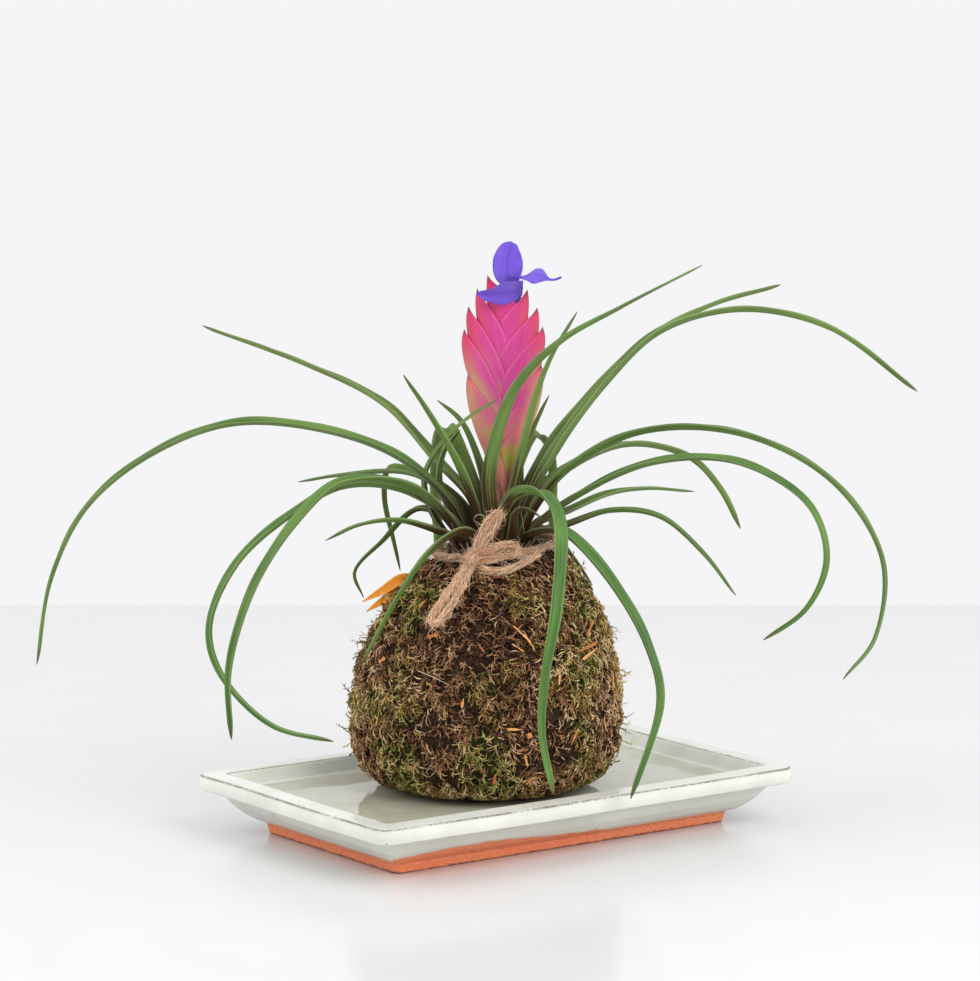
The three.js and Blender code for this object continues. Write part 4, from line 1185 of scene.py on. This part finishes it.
def makeFlower():
    parts = [growTube()] + [growPetal(n, petal) for n, petal in enumerate(flower["petals"])]
    addPiece("petals", joined(parts), petalMaterial(), ["flower"])


makeFlower()


# Crown: the short stem, the dry scales of old leaves round it, and pale air roots

crown = {
    "section": [(14.4, 95.7), (14.4, 98.6), (12.4, 100.8), (9, 103.4), (5.6, 105.6), (3, 106.4)],
    "rough": (0.5, 4, 51),      # height and spacing in mm, and seed
    "scales": 34,
    "hairs": 70,
    "hairRadius": 0.11,
    # two roots that show: one loose on the moss, one curled at the foot of the leaves
    "longRoots": [[(-27.1, -47.6, 75.7), (-20, -52, 73.4), (-14.1, -55, 71.1)],
        [(-1.2, -19, 131.2), (0.4, -20.5, 133.6), (-0.9, -21, 136), (-3.4, -21, 135.8), (-4.4, -20.6, 133.6),
            (-3.2, -20, 132)]],
    "longRootsThicker": 1.9,
    "askew": 0.31,              # turns a root's way aside, for a direction that isn't along it
}


def growCrown():
    # the short stem: its section turned round the ball's axis, with a rough skin
    section = smoothWay(crown["section"], 24)
    angle = np.linspace(0, 2 * np.pi, 60, endpoint=False)
    rings = np.array([besideAxis(np.full(len(angle), r), h, angle) for r, h in section])
    middle = rings.mean(1, keepdims=True)
    rough, *field = crown["rough"]
    rings = rings + unit(rings - middle) * (rough * waves(rings, *field))[..., None]
    points, faces = skinOf(rings[None])
    return points, faces, {"fray": np.zeros(len(points))}


def dryScales():
    # stubs of old leaf sheaths: short pointed blades that stand round the crown and lean out
    rng = np.random.default_rng(52)
    count, steps = crown["scales"], 6
    angle = np.linspace(0, 2 * np.pi, count, endpoint=False) + rng.uniform(-0.08, 0.08, count)
    start = besideAxis(rng.uniform(13.8, 15.2, count), rng.uniform(96.5, 98, count), angle)
    outward = np.stack([np.cos(angle), np.sin(angle), 0 * angle], -1)
    s = np.linspace(0, 1, steps)[None, :, None]
    long = rng.uniform(5, 11, count)[:, None, None]
    lean = rng.uniform(0.25, 0.8, count)[:, None, None]
    lines = start[:, None] + long * (s * (0, 0, 1) + lean * (0.3 * s + 0.7 * s * s) * outward[:, None])
    side = np.stack([-np.sin(angle), np.cos(angle), 0 * angle], -1)[:, None]
    half = (rng.uniform(1.6, 2.8, count)[:, None] * (1 - s[..., 0] ** 1.5) + 0.15)[..., None, None]
    corner = np.array([(-1, 0.25), (0, -0.1), (1, 0.25), (1, 0.1), (0, -0.3), (-1, 0.1)])
    around = corner[:, :1] * side[:, :, None] - corner[:, 1:] * outward[:, None, None]
    rings = lines[:, :, None] + half * around
    points, faces = skinOf(rings)
    return points, faces, {"fray": np.broadcast_to(s, rings.shape[:3]).ravel()}


def airRoots():
    # fine pale hairs that curl out between the leaf bases and the twine
    rng = np.random.default_rng(53)
    count, steps = crown["hairs"], 10
    angle = rng.uniform(0, 2 * np.pi, count)
    start = besideAxis(rng.uniform(14, 19, count), rng.uniform(97, 101, count), angle)
    way = np.stack([np.cos(angle), np.sin(angle), rng.uniform(0.2, 1.6, count)], -1)
    s = np.linspace(0, 1, steps)[None, :, None]
    curl = rng.normal(0, 0.7, (count, 1, 3))
    twist = rng.normal(0, 0.35, (count, 1, 3)) * np.sin(2 * np.pi * s)
    shape = rng.uniform(3, 8, (count, 1, 1)) * (s * unit(way)[:, None] + s * s * curl + 0.3 * twist)
    lines = start[:, None] + shape
    for number, root in enumerate(crown["longRoots"]):
        lines[number] = smoothWay(root, steps)
    radius = crown["hairRadius"] * (1 - 0.5 * s[..., 0]) * np.ones((count, 1))
    radius[:len(crown["longRoots"])] *= crown["longRootsThicker"]
    points, faces = skinOf(tubesOn(lines, unit(way)[:, None] + crown["askew"], radius))
    return points, faces, {}


def sheathMaterial():
    # dry leaf sheaths: papery, brown where they are thick and straw coloured at the frayed ends
    material, tree, place = newMaterial("dry_leaf_sheath")
    fray = addNode(tree, "Attribute", output="Fac", attribute_name="fray")
    long = addNode(tree, "Mapping", {"Vector": place, "Scale": (0.9, 0.9, 0.2)})
    grain = addNode(tree, "TexNoise", {"Vector": long, "Scale": 1.0, "Detail": 3.0})
    body = addNode(tree, "Mix", {0: grain, 6: "#20130E", 7: "#543828"}, 2, data_type="RGBA")
    ends = addNode(tree, "Math", {0: fray, 1: 0.4}, operation="MULTIPLY")
    body = addNode(tree, "Mix", {0: ends, 6: body, 7: "#A58763"}, 2, data_type="RGBA")
    bump = addNode(tree, "Bump", {"Height": grain, "Distance": 0.4 * mm})
    surface = addNode(tree, "BsdfPrincipled", {"Base Color": body, "Roughness": 0.75, "Normal": bump})
    addNode(tree, "OutputMaterial", {"Surface": surface})
    return material


def rootMaterial():
    # air roots: bleached, fibrous
    material, tree, place = newMaterial("air_root")
    patch = addNode(tree, "TexNoise", {"Vector": place, "Scale": 0.4})
    body = addNode(tree, "Mix", {0: patch, 6: "#B5A683", 7: "#E2D9C2"}, 2, data_type="RGBA")
    surface = addNode(tree, "BsdfPrincipled", {"Base Color": body, "Roughness": 0.6})
    addNode(tree, "OutputMaterial", {"Surface": surface})
    return material


def makeCrown():
    heart = joined([growCrown(), dryScales()])
    addPiece("crown_and_old_scales", heart, sheathMaterial(), ["crown_stem"])
    addPiece("air_roots", airRoots(), rootMaterial())


makeCrown()


# Twine: loosely spun jute. Each length is a bundle of fibre strands that wind slowly round its line

twine = {
    "radius": 1.5,
    "strands": 36,
    "strandRadius": 0.19,
    "pitch": 24,            # mm for one turn of the yarn
    "step": 1.1,
    "collarRadius": 25,
    "collarHeight": 100.1,
    "collarTurns": 1.02,
    "knot": (-4.8, -28, 118.6),
    "knotSize": (4.2, 4.0, 3.0),
    "wraps": [(0.3, 0.2), (1.0, -0.3), (1.7, 0.35), (2.5, -0.2)],       # of the knot: tilt and lean
    "wrapTurns": 1.1,
    "wrapShare": 0.62,      # of the knot's size
    # from the knot: the loop that hangs to the left, the one that stands, the short one on the right and
    # the tail
    "lengths": [
        [(-6, -28.6, 118.4), (-11, -35.5, 111.5), (-16.5, -40.6, 104.8), (-20.8, -43.6, 98.4),
            (-22.4, -44.8, 95.3), (-19.6, -45.2, 95), (-15.4, -44, 99.4), (-10.4, -38.8, 107),
            (-5, -30, 117.4)],
        [(-5.5, -28, 118), (-3.4, -28, 124), (-0.3, -27.4, 130.5), (3.8, -26.4, 136.8), (6.8, -26.6, 137.4),
            (4.2, -27.8, 132.4), (-0.4, -29, 125.6), (-3.8, -29, 119.5)],
        [(-4.6, -28, 119), (1.4, -30, 122.4), (7, -30, 124.6), (11.4, -29.4, 124.8), (13.7, -29, 123),
            (12.6, -29.6, 121.4), (9, -30.6, 121), (3, -31, 119.2), (-4.6, -29, 118.4)],
        [(-5, -28, 118), (2.3, -32, 114.2), (9.7, -31.6, 115), (16.7, -28.8, 117.8), (22.6, -25, 120.8)],
    ],
    "fuzz": (6000, 420),    # fibres that stick out, and the length in mm that has so many
    "askew": 0.13,          # turns the way out of the twine aside, for a direction that isn't a fibre's
}


def twineLines():
    # the collar, which overlaps itself by a few degrees, the wraps of the knot, and the bow
    angle = np.linspace(0, 2 * np.pi * twine["collarTurns"], 160)
    collar = besideAxis(twine["collarRadius"] + 0.25 * np.sin(5 * angle), twine["collarHeight"], angle)
    lines = [smoothWay(collar[::4], int(2 * np.pi * twine["collarRadius"] / twine["step"]))]
    middle, size = np.array(twine["knot"]), np.array(twine["knotSize"])
    a = np.linspace(0, 2 * np.pi * twine["wrapTurns"], 30)[:, None]
    for tilt, lean in twine["wraps"]:
        across = np.array([np.cos(tilt), 0.2 * lean, np.sin(tilt)])
        ahead = np.cross(unit(across), (lean, 0.15, 1 - abs(lean)))
        wrap = np.cos(a) * across + np.sin(a) * unit(ahead) * (1, 1.4, 1)
        lines.append(middle + twine["wrapShare"] * size * wrap)
    for points in twine["lengths"]:
        long = lengthAlong(np.array(points))[-1]
        lines.append(smoothWay(points, int(long / twine["step"])))
    return lines


def jutePieces():
    # strands: each winds round the line at its own distance, a little nearer or further by turns, wanders,
    # and turns once in every pitch. Fuzz: curled fibres that leave the twine along it, some further out
    rng = np.random.default_rng(61)
    fibres, overLength = twine["fuzz"]
    strands, hairs = [], []
    for line in twineLines():
        sides, ups = carrySides(line[None], np.array([0.2, 0.1, 1.0]))
        along = lengthAlong(line)
        count = twine["strands"]
        start = rng.uniform(0, 2 * np.pi, (count, 1))
        wander = rng.normal(0, 0.6, (count, 1)) * np.sin(along / 3 + rng.uniform(0, 6, (count, 1)))
        spin = start + 2 * np.pi * along / twine["pitch"] + wander
        away = twine["radius"] * np.sqrt(rng.uniform(0.02, 0.85, (count, 1)))
        away = away * (1 + 0.25 * np.sin(along / 2.4 + rng.uniform(0, 6, (count, 1))))
        lines = line + away[..., None] * (np.cos(spin)[..., None] * sides + np.sin(spin)[..., None] * ups)
        thin = np.clip(np.minimum(along, along[-1] - along) / 1.2 + 0.55, 0, 1)
        radius = twine["strandRadius"] * rng.uniform(0.7, 1.25, (count, 1)) * thin
        a = threadSides[:, None]
        rings = lines[:, :, None] + radius[..., None, None] * (
            np.cos(a) * sides[0][None, :, None] + np.sin(a) * ups[0][None, :, None]
        )
        points, faces = skinOf(rings)
        tone = np.broadcast_to(rng.random((count, 1, 1)), rings.shape[:3]).ravel()
        strands.append((points, faces, {"shade": tone}))

        many = int(fibres * along[-1] / overLength)
        place = rng.integers(0, len(line), many)
        turnTo = rng.uniform(0, 2 * np.pi, (many, 1))
        out = np.cos(turnTo) * sides[0][place] + np.sin(turnTo) * ups[0][place]
        ahead = unit(np.gradient(line, axis=0))[place] * rng.choice([-1, 1], (many, 1))
        s = np.linspace(0, 1, 4)[None, :, None]
        long = rng.gamma(2.0, 0.9, (many, 1, 1)) + 0.8
        curl = rng.normal(0, 0.4, (many, 1, 3))
        stray = rng.choice([0.12, 0.8], (many, 1), p=[0.7, 0.3])
        way = ahead * rng.uniform(0.5, 1.2, (many, 1)) + out * stray * rng.uniform(0.4, 1, (many, 1))
        hair = (line[place] + out * twine["radius"] * rng.uniform(0.8, 1.1, (many, 1)))[:, None]
        hair = hair + long * (s * way[:, None] + s * s * curl * stray[:, None])
        thickness = rng.uniform(0.08, 0.15, (many, 1)) * (1 - 0.6 * s[..., 0])
        points, faces = skinOf(tubesOn(hair, out[:, None] + twine["askew"], thickness))
        shade = np.repeat(rng.random(many), len(s[0]) * len(threadSides))
        hairs.append((points, faces, {"shade": shade}))
    return joined(strands), joined(hairs)


def juteMaterial():
    # spun jute: dull bast fibre, pinkish tan, each strand its own tone, with a faint sheen along it
    material, tree, place = newMaterial("spun_jute")
    shade = addNode(tree, "Attribute", output="Fac", attribute_name="shade")
    grain = addNode(tree, "TexNoise", {"Vector": place, "Scale": 1.1, "Detail": 3.0})
    shade = addNode(tree, "Math", {0: shade, 1: 0.7}, operation="MULTIPLY")
    shade = addNode(tree, "Math", {0: grain, 1: 0.5, 2: shade}, operation="MULTIPLY_ADD")
    stops = [(0.1, "#8E6042"), (0.4, "#CE9A70"), (0.7, "#EFC59E"), (1.0, "#FCE6CA")]
    colour = addNode(tree, "ValToRGB", {0: shade}, stops=stops)
    look = {"Base Color": colour, "Roughness": 0.8, "Specular IOR Level": 0.25, "Sheen Weight": 0.4}
    addNode(tree, "OutputMaterial", {"Surface": addNode(tree, "BsdfPrincipled", look)})
    return material


def makeTwine():
    strands, hairs = jutePieces()
    material = juteMaterial()
    addPiece("jute_strands", strands, material, ["jute_twine"])
    addPiece("jute_fuzz", hairs, material)


makeTwine()


# Ornament: two pointed orange blades, folded along the middle

ornament = {
    "side": (0.25, 0.75, 0.6),
    "root": (-26, 8.5, 103.5),
    "blades": [(5.4, [(-34, 7, 104.4), (-42, 5.5, 100), (-51, 4, 95.6)]),
        (6, [(-35, 6, 100.2), (-42, 4, 95.8), (-49.4, 2.5, 91.8)])],
    "fold": 0.32,
    "thickness": 0.7,
    "across": 9,
}


def growOrnament():
    # half the width follows a stretch of a sine wave; the margins stand up by fold times it
    parts = []
    for number, (width, way) in enumerate(ornament["blades"]):
        line = smoothWay([ornament["root"], *way], 30)
        along = lengthAlong(line)
        t = (along / along[-1])[:, None]
        sides, ups = carrySides(line[None], unit(np.array(ornament["side"])))
        half = np.maximum(0.2, width / 2 * np.sin(np.pi * (0.1 + 0.895 * t**0.85)))
        u = np.linspace(-1, 1, ornament["across"])[None]
        face = half * ornament["fold"] * np.abs(u) ** 1.2 + 0.12 * np.sin(3 * t * np.pi) * u
        thick = ornament["thickness"] * (1 - 0.6 * u * u) + 0 * t
        rings, across = bladeRings(line, sides[0], ups[0], half * u, face, thick)
        points, faces = skinOf(rings[None])
        edge = np.concatenate([np.abs(u), np.abs(u)], axis=1) * np.ones_like(t)
        # the under face, which the material paints peach brown as painted shade
        under = np.repeat([0.0, 1.0], ornament["across"])[None] * np.ones_like(t)
        down = along[:, None] * np.ones_like(across)
        surfaceWay = np.stack([across, down, np.full(across.shape, 20.0 * number)], -1).reshape(-1, 3)
        parts.append((points, faces, {"paperWay": surfaceWay, "edge": edge.ravel(), "under": under.ravel()}))
    return joined(parts)


def paperMaterial():
    # dyed paper leaf: strong orange, paler at the cut edges; the face below is painted peach brown as its
    # shade
    material, tree, _ = newMaterial("dyed_paper")
    way = addNode(tree, "Attribute", output="Vector", attribute_name="paperWay")
    edge = addNode(tree, "Attribute", output="Fac", attribute_name="edge")
    under = addNode(tree, "Attribute", output="Fac", attribute_name="under")
    long = addNode(tree, "Mapping", {"Vector": way, "Scale": (1.2, 0.15, 1.0)})
    fibre = addNode(tree, "TexNoise", {"Vector": long, "Scale": 1.0, "Detail": 3.0})
    body = addNode(tree, "Mix", {0: fibre, 6: "#D97A06", 7: "#F09A14"}, 2, data_type="RGBA")
    rim = addNode(tree, "MapRange", {"Value": edge, "From Min": 0.75, "From Max": 1.0})
    body = addNode(tree, "Mix", {0: rim, 6: body, 7: "#FBC158"}, 2, data_type="RGBA")
    # painted shade: the under face is painted peach brown
    body = addNode(tree, "Mix", {0: under, 6: body, 7: "#CF9A6C"}, 2, data_type="RGBA")
    bump = addNode(tree, "Bump", {"Height": fibre, "Distance": 0.15 * mm})
    surface = addNode(tree, "BsdfPrincipled", {"Base Color": body, "Roughness": 0.6, "Normal": bump})
    addNode(tree, "OutputMaterial", {"Surface": surface})
    return material


def makeOrnament():
    addPiece("orange_blades", growOrnament(), paperMaterial(), ["orange_ornament"])


makeOrnament()


# Tray: a pressed dish on a foot, glazed down to a wavy edge

tray = {
    "length": 213.6,
    "width": 140,
    "corner": 8,
    "plainCorner": 2.5,
    # (inset, height) from the hollow under the foot, round the rim and down into the dish
    "section": [(36, 10), (33.5, 0.25), (32.9, 0), (23.2, 0), (22.5, 0.35), (21.6, 4.6), (19.6, 5.2),
        (16, 7.4), (12, 11.2), (8.8, 15.8), (2, 17.6), (0.5, 18.3), (0, 21), (0.5, 23.9), (1.8, 24.5),
        (9.8, 24.8), (11.2, 24.1), (15, 19.3), (17.5, 18.5), (20, 18.5)],
    "round": 1.1,           # how far each corner of the section is cut back
    "rowStep": 0.7,
    "rimEdges": [(1.1, 24.3), (10.4, 24.6)],    # the outer and the inner one, on the section
    "dishFrom": 16,         # inset
    "footEdge": 24,         # inset of its outer edge
    "floorRings": [23, 27, 32, 38, 45, 53, 61],
    "alongLong": 90,
    "alongShort": 60,
    "alongCorner": 10,
    # slow random fields for the height and for the sides: mm, spacing in mm, and seed
    "heightWobble": (0.175, 70, 73),
    "sideWobble": (0.35, 45, 74),
    "floorShare": 0.35,     # of the wobble, inside the dish
    "bulge": 0.6,           # share of the side's wobble and of the glaze that shows
    # at a corner, |x| - |y| is 36.8: above the first value a point is pushed out along x, under the second
    # along y, so in the corner both ways
    "sideBand": (36, 38),
    "nicks": (0.02, 0.5),   # share of the foot's outer edge, and height
    "glaze": 0.4,           # thickness of the glaze where it ends
    "covered": 9,           # the value inside the dish, far above the glaze's edge
    "bare": -3,             # and under the foot
    "floorWay": 9,          # how far past the section's end the floor counts
    "pool": (24.3, 22.3),   # heights between which the glaze turns green
    # height of the glaze's edge along the long front side by x, and along the short left side by y
    "longEdge": [(-107, 7.6), (-84, 8.3), (-67, 9.6), (-45, 10), (-21, 8.9), (0, 7.5), (10, 6.7),
        (19, 5.4), (48, 4.7), (84, 4.9), (107, 5.2)],
    "shortEdge": [(-70, 7.6), (-56, 6.3), (-40, 5.3), (-10, 4.9), (30, 4.8), (70, 4.8)],
    # and along the other two sides: height, waver, and mm for one radian of it
    "backEdges": [(5, 0.9, 31), (5.2, 0.6, 17)],
    "scallops": [(0.35, 9, 71), (0.2, 3.5, 72)],        # height and spacing in mm, and seed
}


def roundedSection():
    # each corner of the section becomes a quadratic curve between two points cut back from it, then rows
    # are added so that none are further apart than a row step
    p = np.array(tray["section"], float)
    a, c, b = p[:-2], p[1:-1], p[2:]
    nearest = np.minimum(*(np.linalg.norm(c - x, axis=1) for x in (a, b)))
    cut = np.minimum(tray["round"], 0.4 * nearest)[:, None]
    first, last = c + unit(a - c) * cut, c + unit(b - c) * cut
    u = np.linspace(0, 1, 5)[None, :, None]
    arcs = (1 - u) ** 2 * first[:, None] + 2 * u * (1 - u) * c[:, None] + u**2 * last[:, None]
    line = np.vstack([p[:1], arcs.reshape(-1, 2), p[-1:]])
    way = lengthAlong(line)
    at = np.unique(np.round(np.concatenate([way, np.arange(0, way[-1], tray["rowStep"])]), 3))
    return np.stack([np.interp(at, way, column) for column in line.T], axis=1)


def trayOutline(inset):
    # points of a rectangle with round corners, moved in by inset; equal numbers on every row
    inset = np.asarray(inset, float)[:, None]
    radius = np.maximum(tray["corner"] - inset, tray["plainCorner"])
    x, y = tray["length"] / 2 - inset - radius, tray["width"] / 2 - inset - radius
    a = np.linspace(0, np.pi / 2, tray["alongCorner"])[None]
    xs, ys = [], []
    for quarter, (sx, sy) in enumerate([(1, 1), (-1, 1), (-1, -1), (1, -1)]):
        turned = a + quarter * np.pi / 2
        xs.append(sx * x + radius * np.cos(turned))
        ys.append(sy * y + radius * np.sin(turned))
        many = tray["alongLong"] if quarter % 2 == 0 else tray["alongShort"]
        u = np.linspace(0, 1, many + 2)[None, 1:-1]
        endX, endY = sx * x + radius * np.cos(turned[:, -1:]), sy * y + radius * np.sin(turned[:, -1:])
        nextX, nextY = [(-x, y), (-x, -y), (x, -y), (x, y)][quarter]
        nextX = nextX + radius * np.cos(turned[:, -1:])
        nextY = nextY + radius * np.sin(turned[:, -1:])
        xs.append(endX + (nextX - endX) * u)
        ys.append(endY + (nextY - endY) * u)
    return np.concatenate(xs, axis=1), np.concatenate(ys, axis=1)


def glazeEdge(x, y):
    # the height where the glaze ends: read along the nearer side, with small scallops
    alongLong = np.interp(x, *np.array(tray["longEdge"]).T)
    alongShort = np.interp(y, *np.array(tray["shortEdge"]).T)
    backLong, backShort = (
        level + waver * np.sin(place / long)
        for place, (level, waver, long) in zip((x, y), tray["backEdges"])
    )
    nearLong = tray["width"] / 2 - np.abs(y) < tray["length"] / 2 - np.abs(x)
    edge = np.where(nearLong, np.where(y < 0, alongLong, backLong), np.where(x < 0, alongShort, backShort))
    flat = np.stack([x, y, 0 * x], -1)
    for depth, *field in tray["scallops"]:
        edge = edge + depth * waves(flat, *field)
    return edge


def growTray():
    # the section carried round the outline, then rings of floor. The height wobbles by one random field
    # and the sides by another, less towards the foot; outside, the glaze adds its thickness where it covers
    # the clay, and the foot's outer edge is nicked
    section = roundedSection()
    floor = tray["floorRings"]
    inset = np.concatenate([section[:, 0], floor])[:, None]
    height = np.concatenate([section[:, 1], np.full(len(floor), section[-1, 1])])[:, None]
    x, y = trayOutline(inset[:, 0])
    z = np.broadcast_to(height, x.shape).copy()
    flat = np.stack([x, y, 0 * x], -1)
    row = np.arange(len(inset))[:, None]
    inside = (inset > tray["dishFrom"]) & (row > len(inset) // 2)
    over = np.where(inside, tray["covered"], z - glazeEdge(x, y))
    over = np.where(row < np.argmax(section[:, 1] < 0.5), tray["bare"], over)

    lift = smoothstep(0.3, 8, z)
    wobble, *field = tray["heightWobble"]
    z += wobble * waves(flat, *field) * lift * np.where(inside, tray["floorShare"], 1)
    wobble, *field = tray["sideWobble"]
    grow = wobble * waves(flat, *field) * lift + tray["glaze"] * smoothstep(0, 0.9, over) * ~inside
    overX, overY = tray["sideBand"]
    outX = np.clip(x / (tray["length"] / 2) * 8, -1, 1) * (np.abs(x) > np.abs(y) + overX)
    outY = np.clip(y / (tray["width"] / 2) * 8, -1, 1) * (np.abs(x) < np.abs(y) + overY)
    points = np.stack([x, y, z], -1) + np.stack([outX, outY, 0 * x], -1) * grow[..., None] * tray["bulge"]
    share, nick = tray["nicks"]
    nicked = np.random.default_rng(75).random(x.shape) < share
    points[..., 2] += np.where((height < 0.3) & nicked & (inset < tray["footEdge"]), nick, 0)

    way = lengthAlong(section)
    outerEdge, innerEdge = (way[np.argmin(np.hypot(*(section - edge).T))] for edge in tray["rimEdges"])
    wayOfRow = np.concatenate([way, np.full(len(floor), way[-1] + tray["floorWay"])])[:, None] + 0 * x
    rings = (points - np.array([*plant["onTray"], 0])) @ plantAxes
    points, faces = skinOf(rings[None])
    fields = {
        "overEdge": over.ravel(),
        "outerRim": (wayOfRow - outerEdge).ravel(),
        "innerRim": (wayOfRow - innerEdge).ravel(),
        "pool": (smoothstep(*tray["pool"], z) * inside).ravel(),
    }
    return points, faces, fields


def trayMaterial():
    # terracotta under a clear celadon glaze: glassy and grey green where it pools in the dish, milky on the
    # rim, burnt through to a brown speckled line along the rim's edges, and bare clay at the foot
    material, tree, place = newMaterial("celadon_on_terracotta")
    over, outerRim, innerRim, pool = (
        addNode(tree, "Attribute", output="Fac", attribute_name=name)
        for name in ("overEdge", "outerRim", "innerRim", "pool")
    )
    ragged = addNode(tree, "TexNoise", {"Vector": place, "Scale": 0.5, "Detail": 3.0})
    over = addNode(tree, "Math", {0: ragged, 1: 0.5, 2: over}, operation="MULTIPLY_ADD")
    glazed = addNode(tree, "MapRange", {"Value": over, "From Min": 0.2, "From Max": 0.38})
    cloud = addNode(tree, "TexNoise", {"Vector": place, "Scale": 0.05, "Detail": 3.0})
    cloud = addNode(tree, "MapRange", {"Value": cloud, "From Min": 0.3, "From Max": 0.7})
    milk = addNode(tree, "Mix", {0: cloud, 6: "#D2D5CA", 7: "#E3E4DD"}, 2, data_type="RGBA")
    deep = addNode(tree, "Mix", {0: cloud, 6: "#ABAB96", 7: "#BDBEAD"}, 2, data_type="RGBA")
    glaze = addNode(tree, "Mix", {0: pool, 6: milk, 7: deep}, 2, data_type="RGBA")
    thin = addNode(tree, "MapRange", {"Value": over, "From Min": 9.0, "From Max": 5.0, "To Max": 0.35})
    glaze = addNode(tree, "Mix", {0: thin, 6: glaze, 7: "#C9CDBB"}, 2, data_type="RGBA")
    speck = addNode(tree, "TexNoise", {"Vector": place, "Scale": 1.6, "Detail": 4.0, "Roughness": 0.7})
    worn = addNode(tree, "TexNoise", {"Vector": place, "Scale": 0.06, "Detail": 2.0})
    speck = addNode(tree, "Math", {0: worn, 1: 0.35, 2: speck}, operation="MULTIPLY_ADD")
    speck = addNode(tree, "MapRange", {"Value": speck, "From Min": 0.58, "From Max": 0.7})
    for way, half, share in ((outerRim, 1.0, 0.9), (innerRim, 0.85, 0.75)):
        away = addNode(tree, "Math", {0: way}, operation="ABSOLUTE")
        line = {"Value": away, "From Min": half, "From Max": half * 0.3, "To Max": share}
        line = addNode(tree, "Math", {0: addNode(tree, "MapRange", line), 1: speck}, operation="MULTIPLY")
        glaze = addNode(tree, "Mix", {0: line, 6: glaze, 7: "#64564B"}, 2, data_type="RGBA")
    iron = addNode(tree, "TexNoise", {"Vector": place, "Scale": 0.35, "Detail": 1.0})
    iron = addNode(tree, "MapRange", {"Value": iron, "From Min": 0.76, "From Max": 0.8, "To Max": 0.7})
    glaze = addNode(tree, "Mix", {0: iron, 6: glaze, 7: "#8E8069"}, 2, data_type="RGBA")
    grit = addNode(tree, "TexNoise", {"Vector": place, "Scale": 1.3, "Detail": 4.0})
    stops = [(0.25, "#DA7248"), (0.5, "#EE8B60"), (0.75, "#F8AA88")]
    clay = addNode(tree, "ValToRGB", {0: grit}, stops=stops)
    height = addNode(tree, "SeparateXYZ", {0: place}, "Z")
    # the clay is darker, raggedly, in the lowest millimetre or so of the foot, next to the table
    darkFootEdge = addNode(tree, "Math", {0: ragged, 1: -2.4, 2: height}, operation="MULTIPLY_ADD")
    darkFootEdge = {"Value": darkFootEdge, "From Min": -0.2, "From Max": -1.0, "To Max": 0.8}
    darkFootEdge = addNode(tree, "MapRange", darkFootEdge)
    clay = addNode(tree, "Mix", {0: darkFootEdge, 6: clay, 7: "#5E3426"}, 2, data_type="RGBA")
    body = addNode(tree, "Mix", {0: glazed, 6: clay, 7: glaze}, 2, data_type="RGBA")
    rough = addNode(tree, "MapRange", {"Value": glazed, "To Min": 0.85, "To Max": 0.06})
    wave = addNode(tree, "TexNoise", {"Vector": place, "Scale": 0.035, "Detail": 1.0})
    wave = addNode(tree, "Math", {0: wave, 1: 2.5}, operation="MULTIPLY")
    relief = addNode(tree, "Mix", {0: glazed, 2: grit, 3: wave}, data_type="FLOAT")
    bump = addNode(tree, "Bump", {"Height": relief, "Distance": 0.6 * mm, "Strength": 0.5})
    look = {"Base Color": body, "Roughness": rough, "IOR": 1.48, "Normal": bump}
    addNode(tree, "OutputMaterial", {"Surface": addNode(tree, "BsdfPrincipled", look)})
    return material


addPiece("glazed_tray", growTray(), trayMaterial(), ["tray"])


# Root ball: the solid inside stays as it is, in a soil finish


def soilMaterial():
    # packed roots and soil: dark crumbs
    material, tree, place = newMaterial("packed_soil")
    crumbs = addNode(tree, "TexNoise", {"Vector": place, "Scale": 0.7, "Detail": 5.0})
    body = addNode(tree, "Mix", {0: crumbs, 6: "#1B120C", 7: "#46331F"}, 2, data_type="RGBA")
    bump = addNode(tree, "Bump", {"Height": crumbs, "Distance": 1.0 * mm})
    surface = addNode(tree, "BsdfPrincipled", {"Base Color": body, "Roughness": 0.95, "Normal": bump})
    addNode(tree, "OutputMaterial", {"Surface": surface})
    return material


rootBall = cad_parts["root_ball"]
rootBall.data.materials.clear()
rootBall.data.materials.append(soilMaterial())
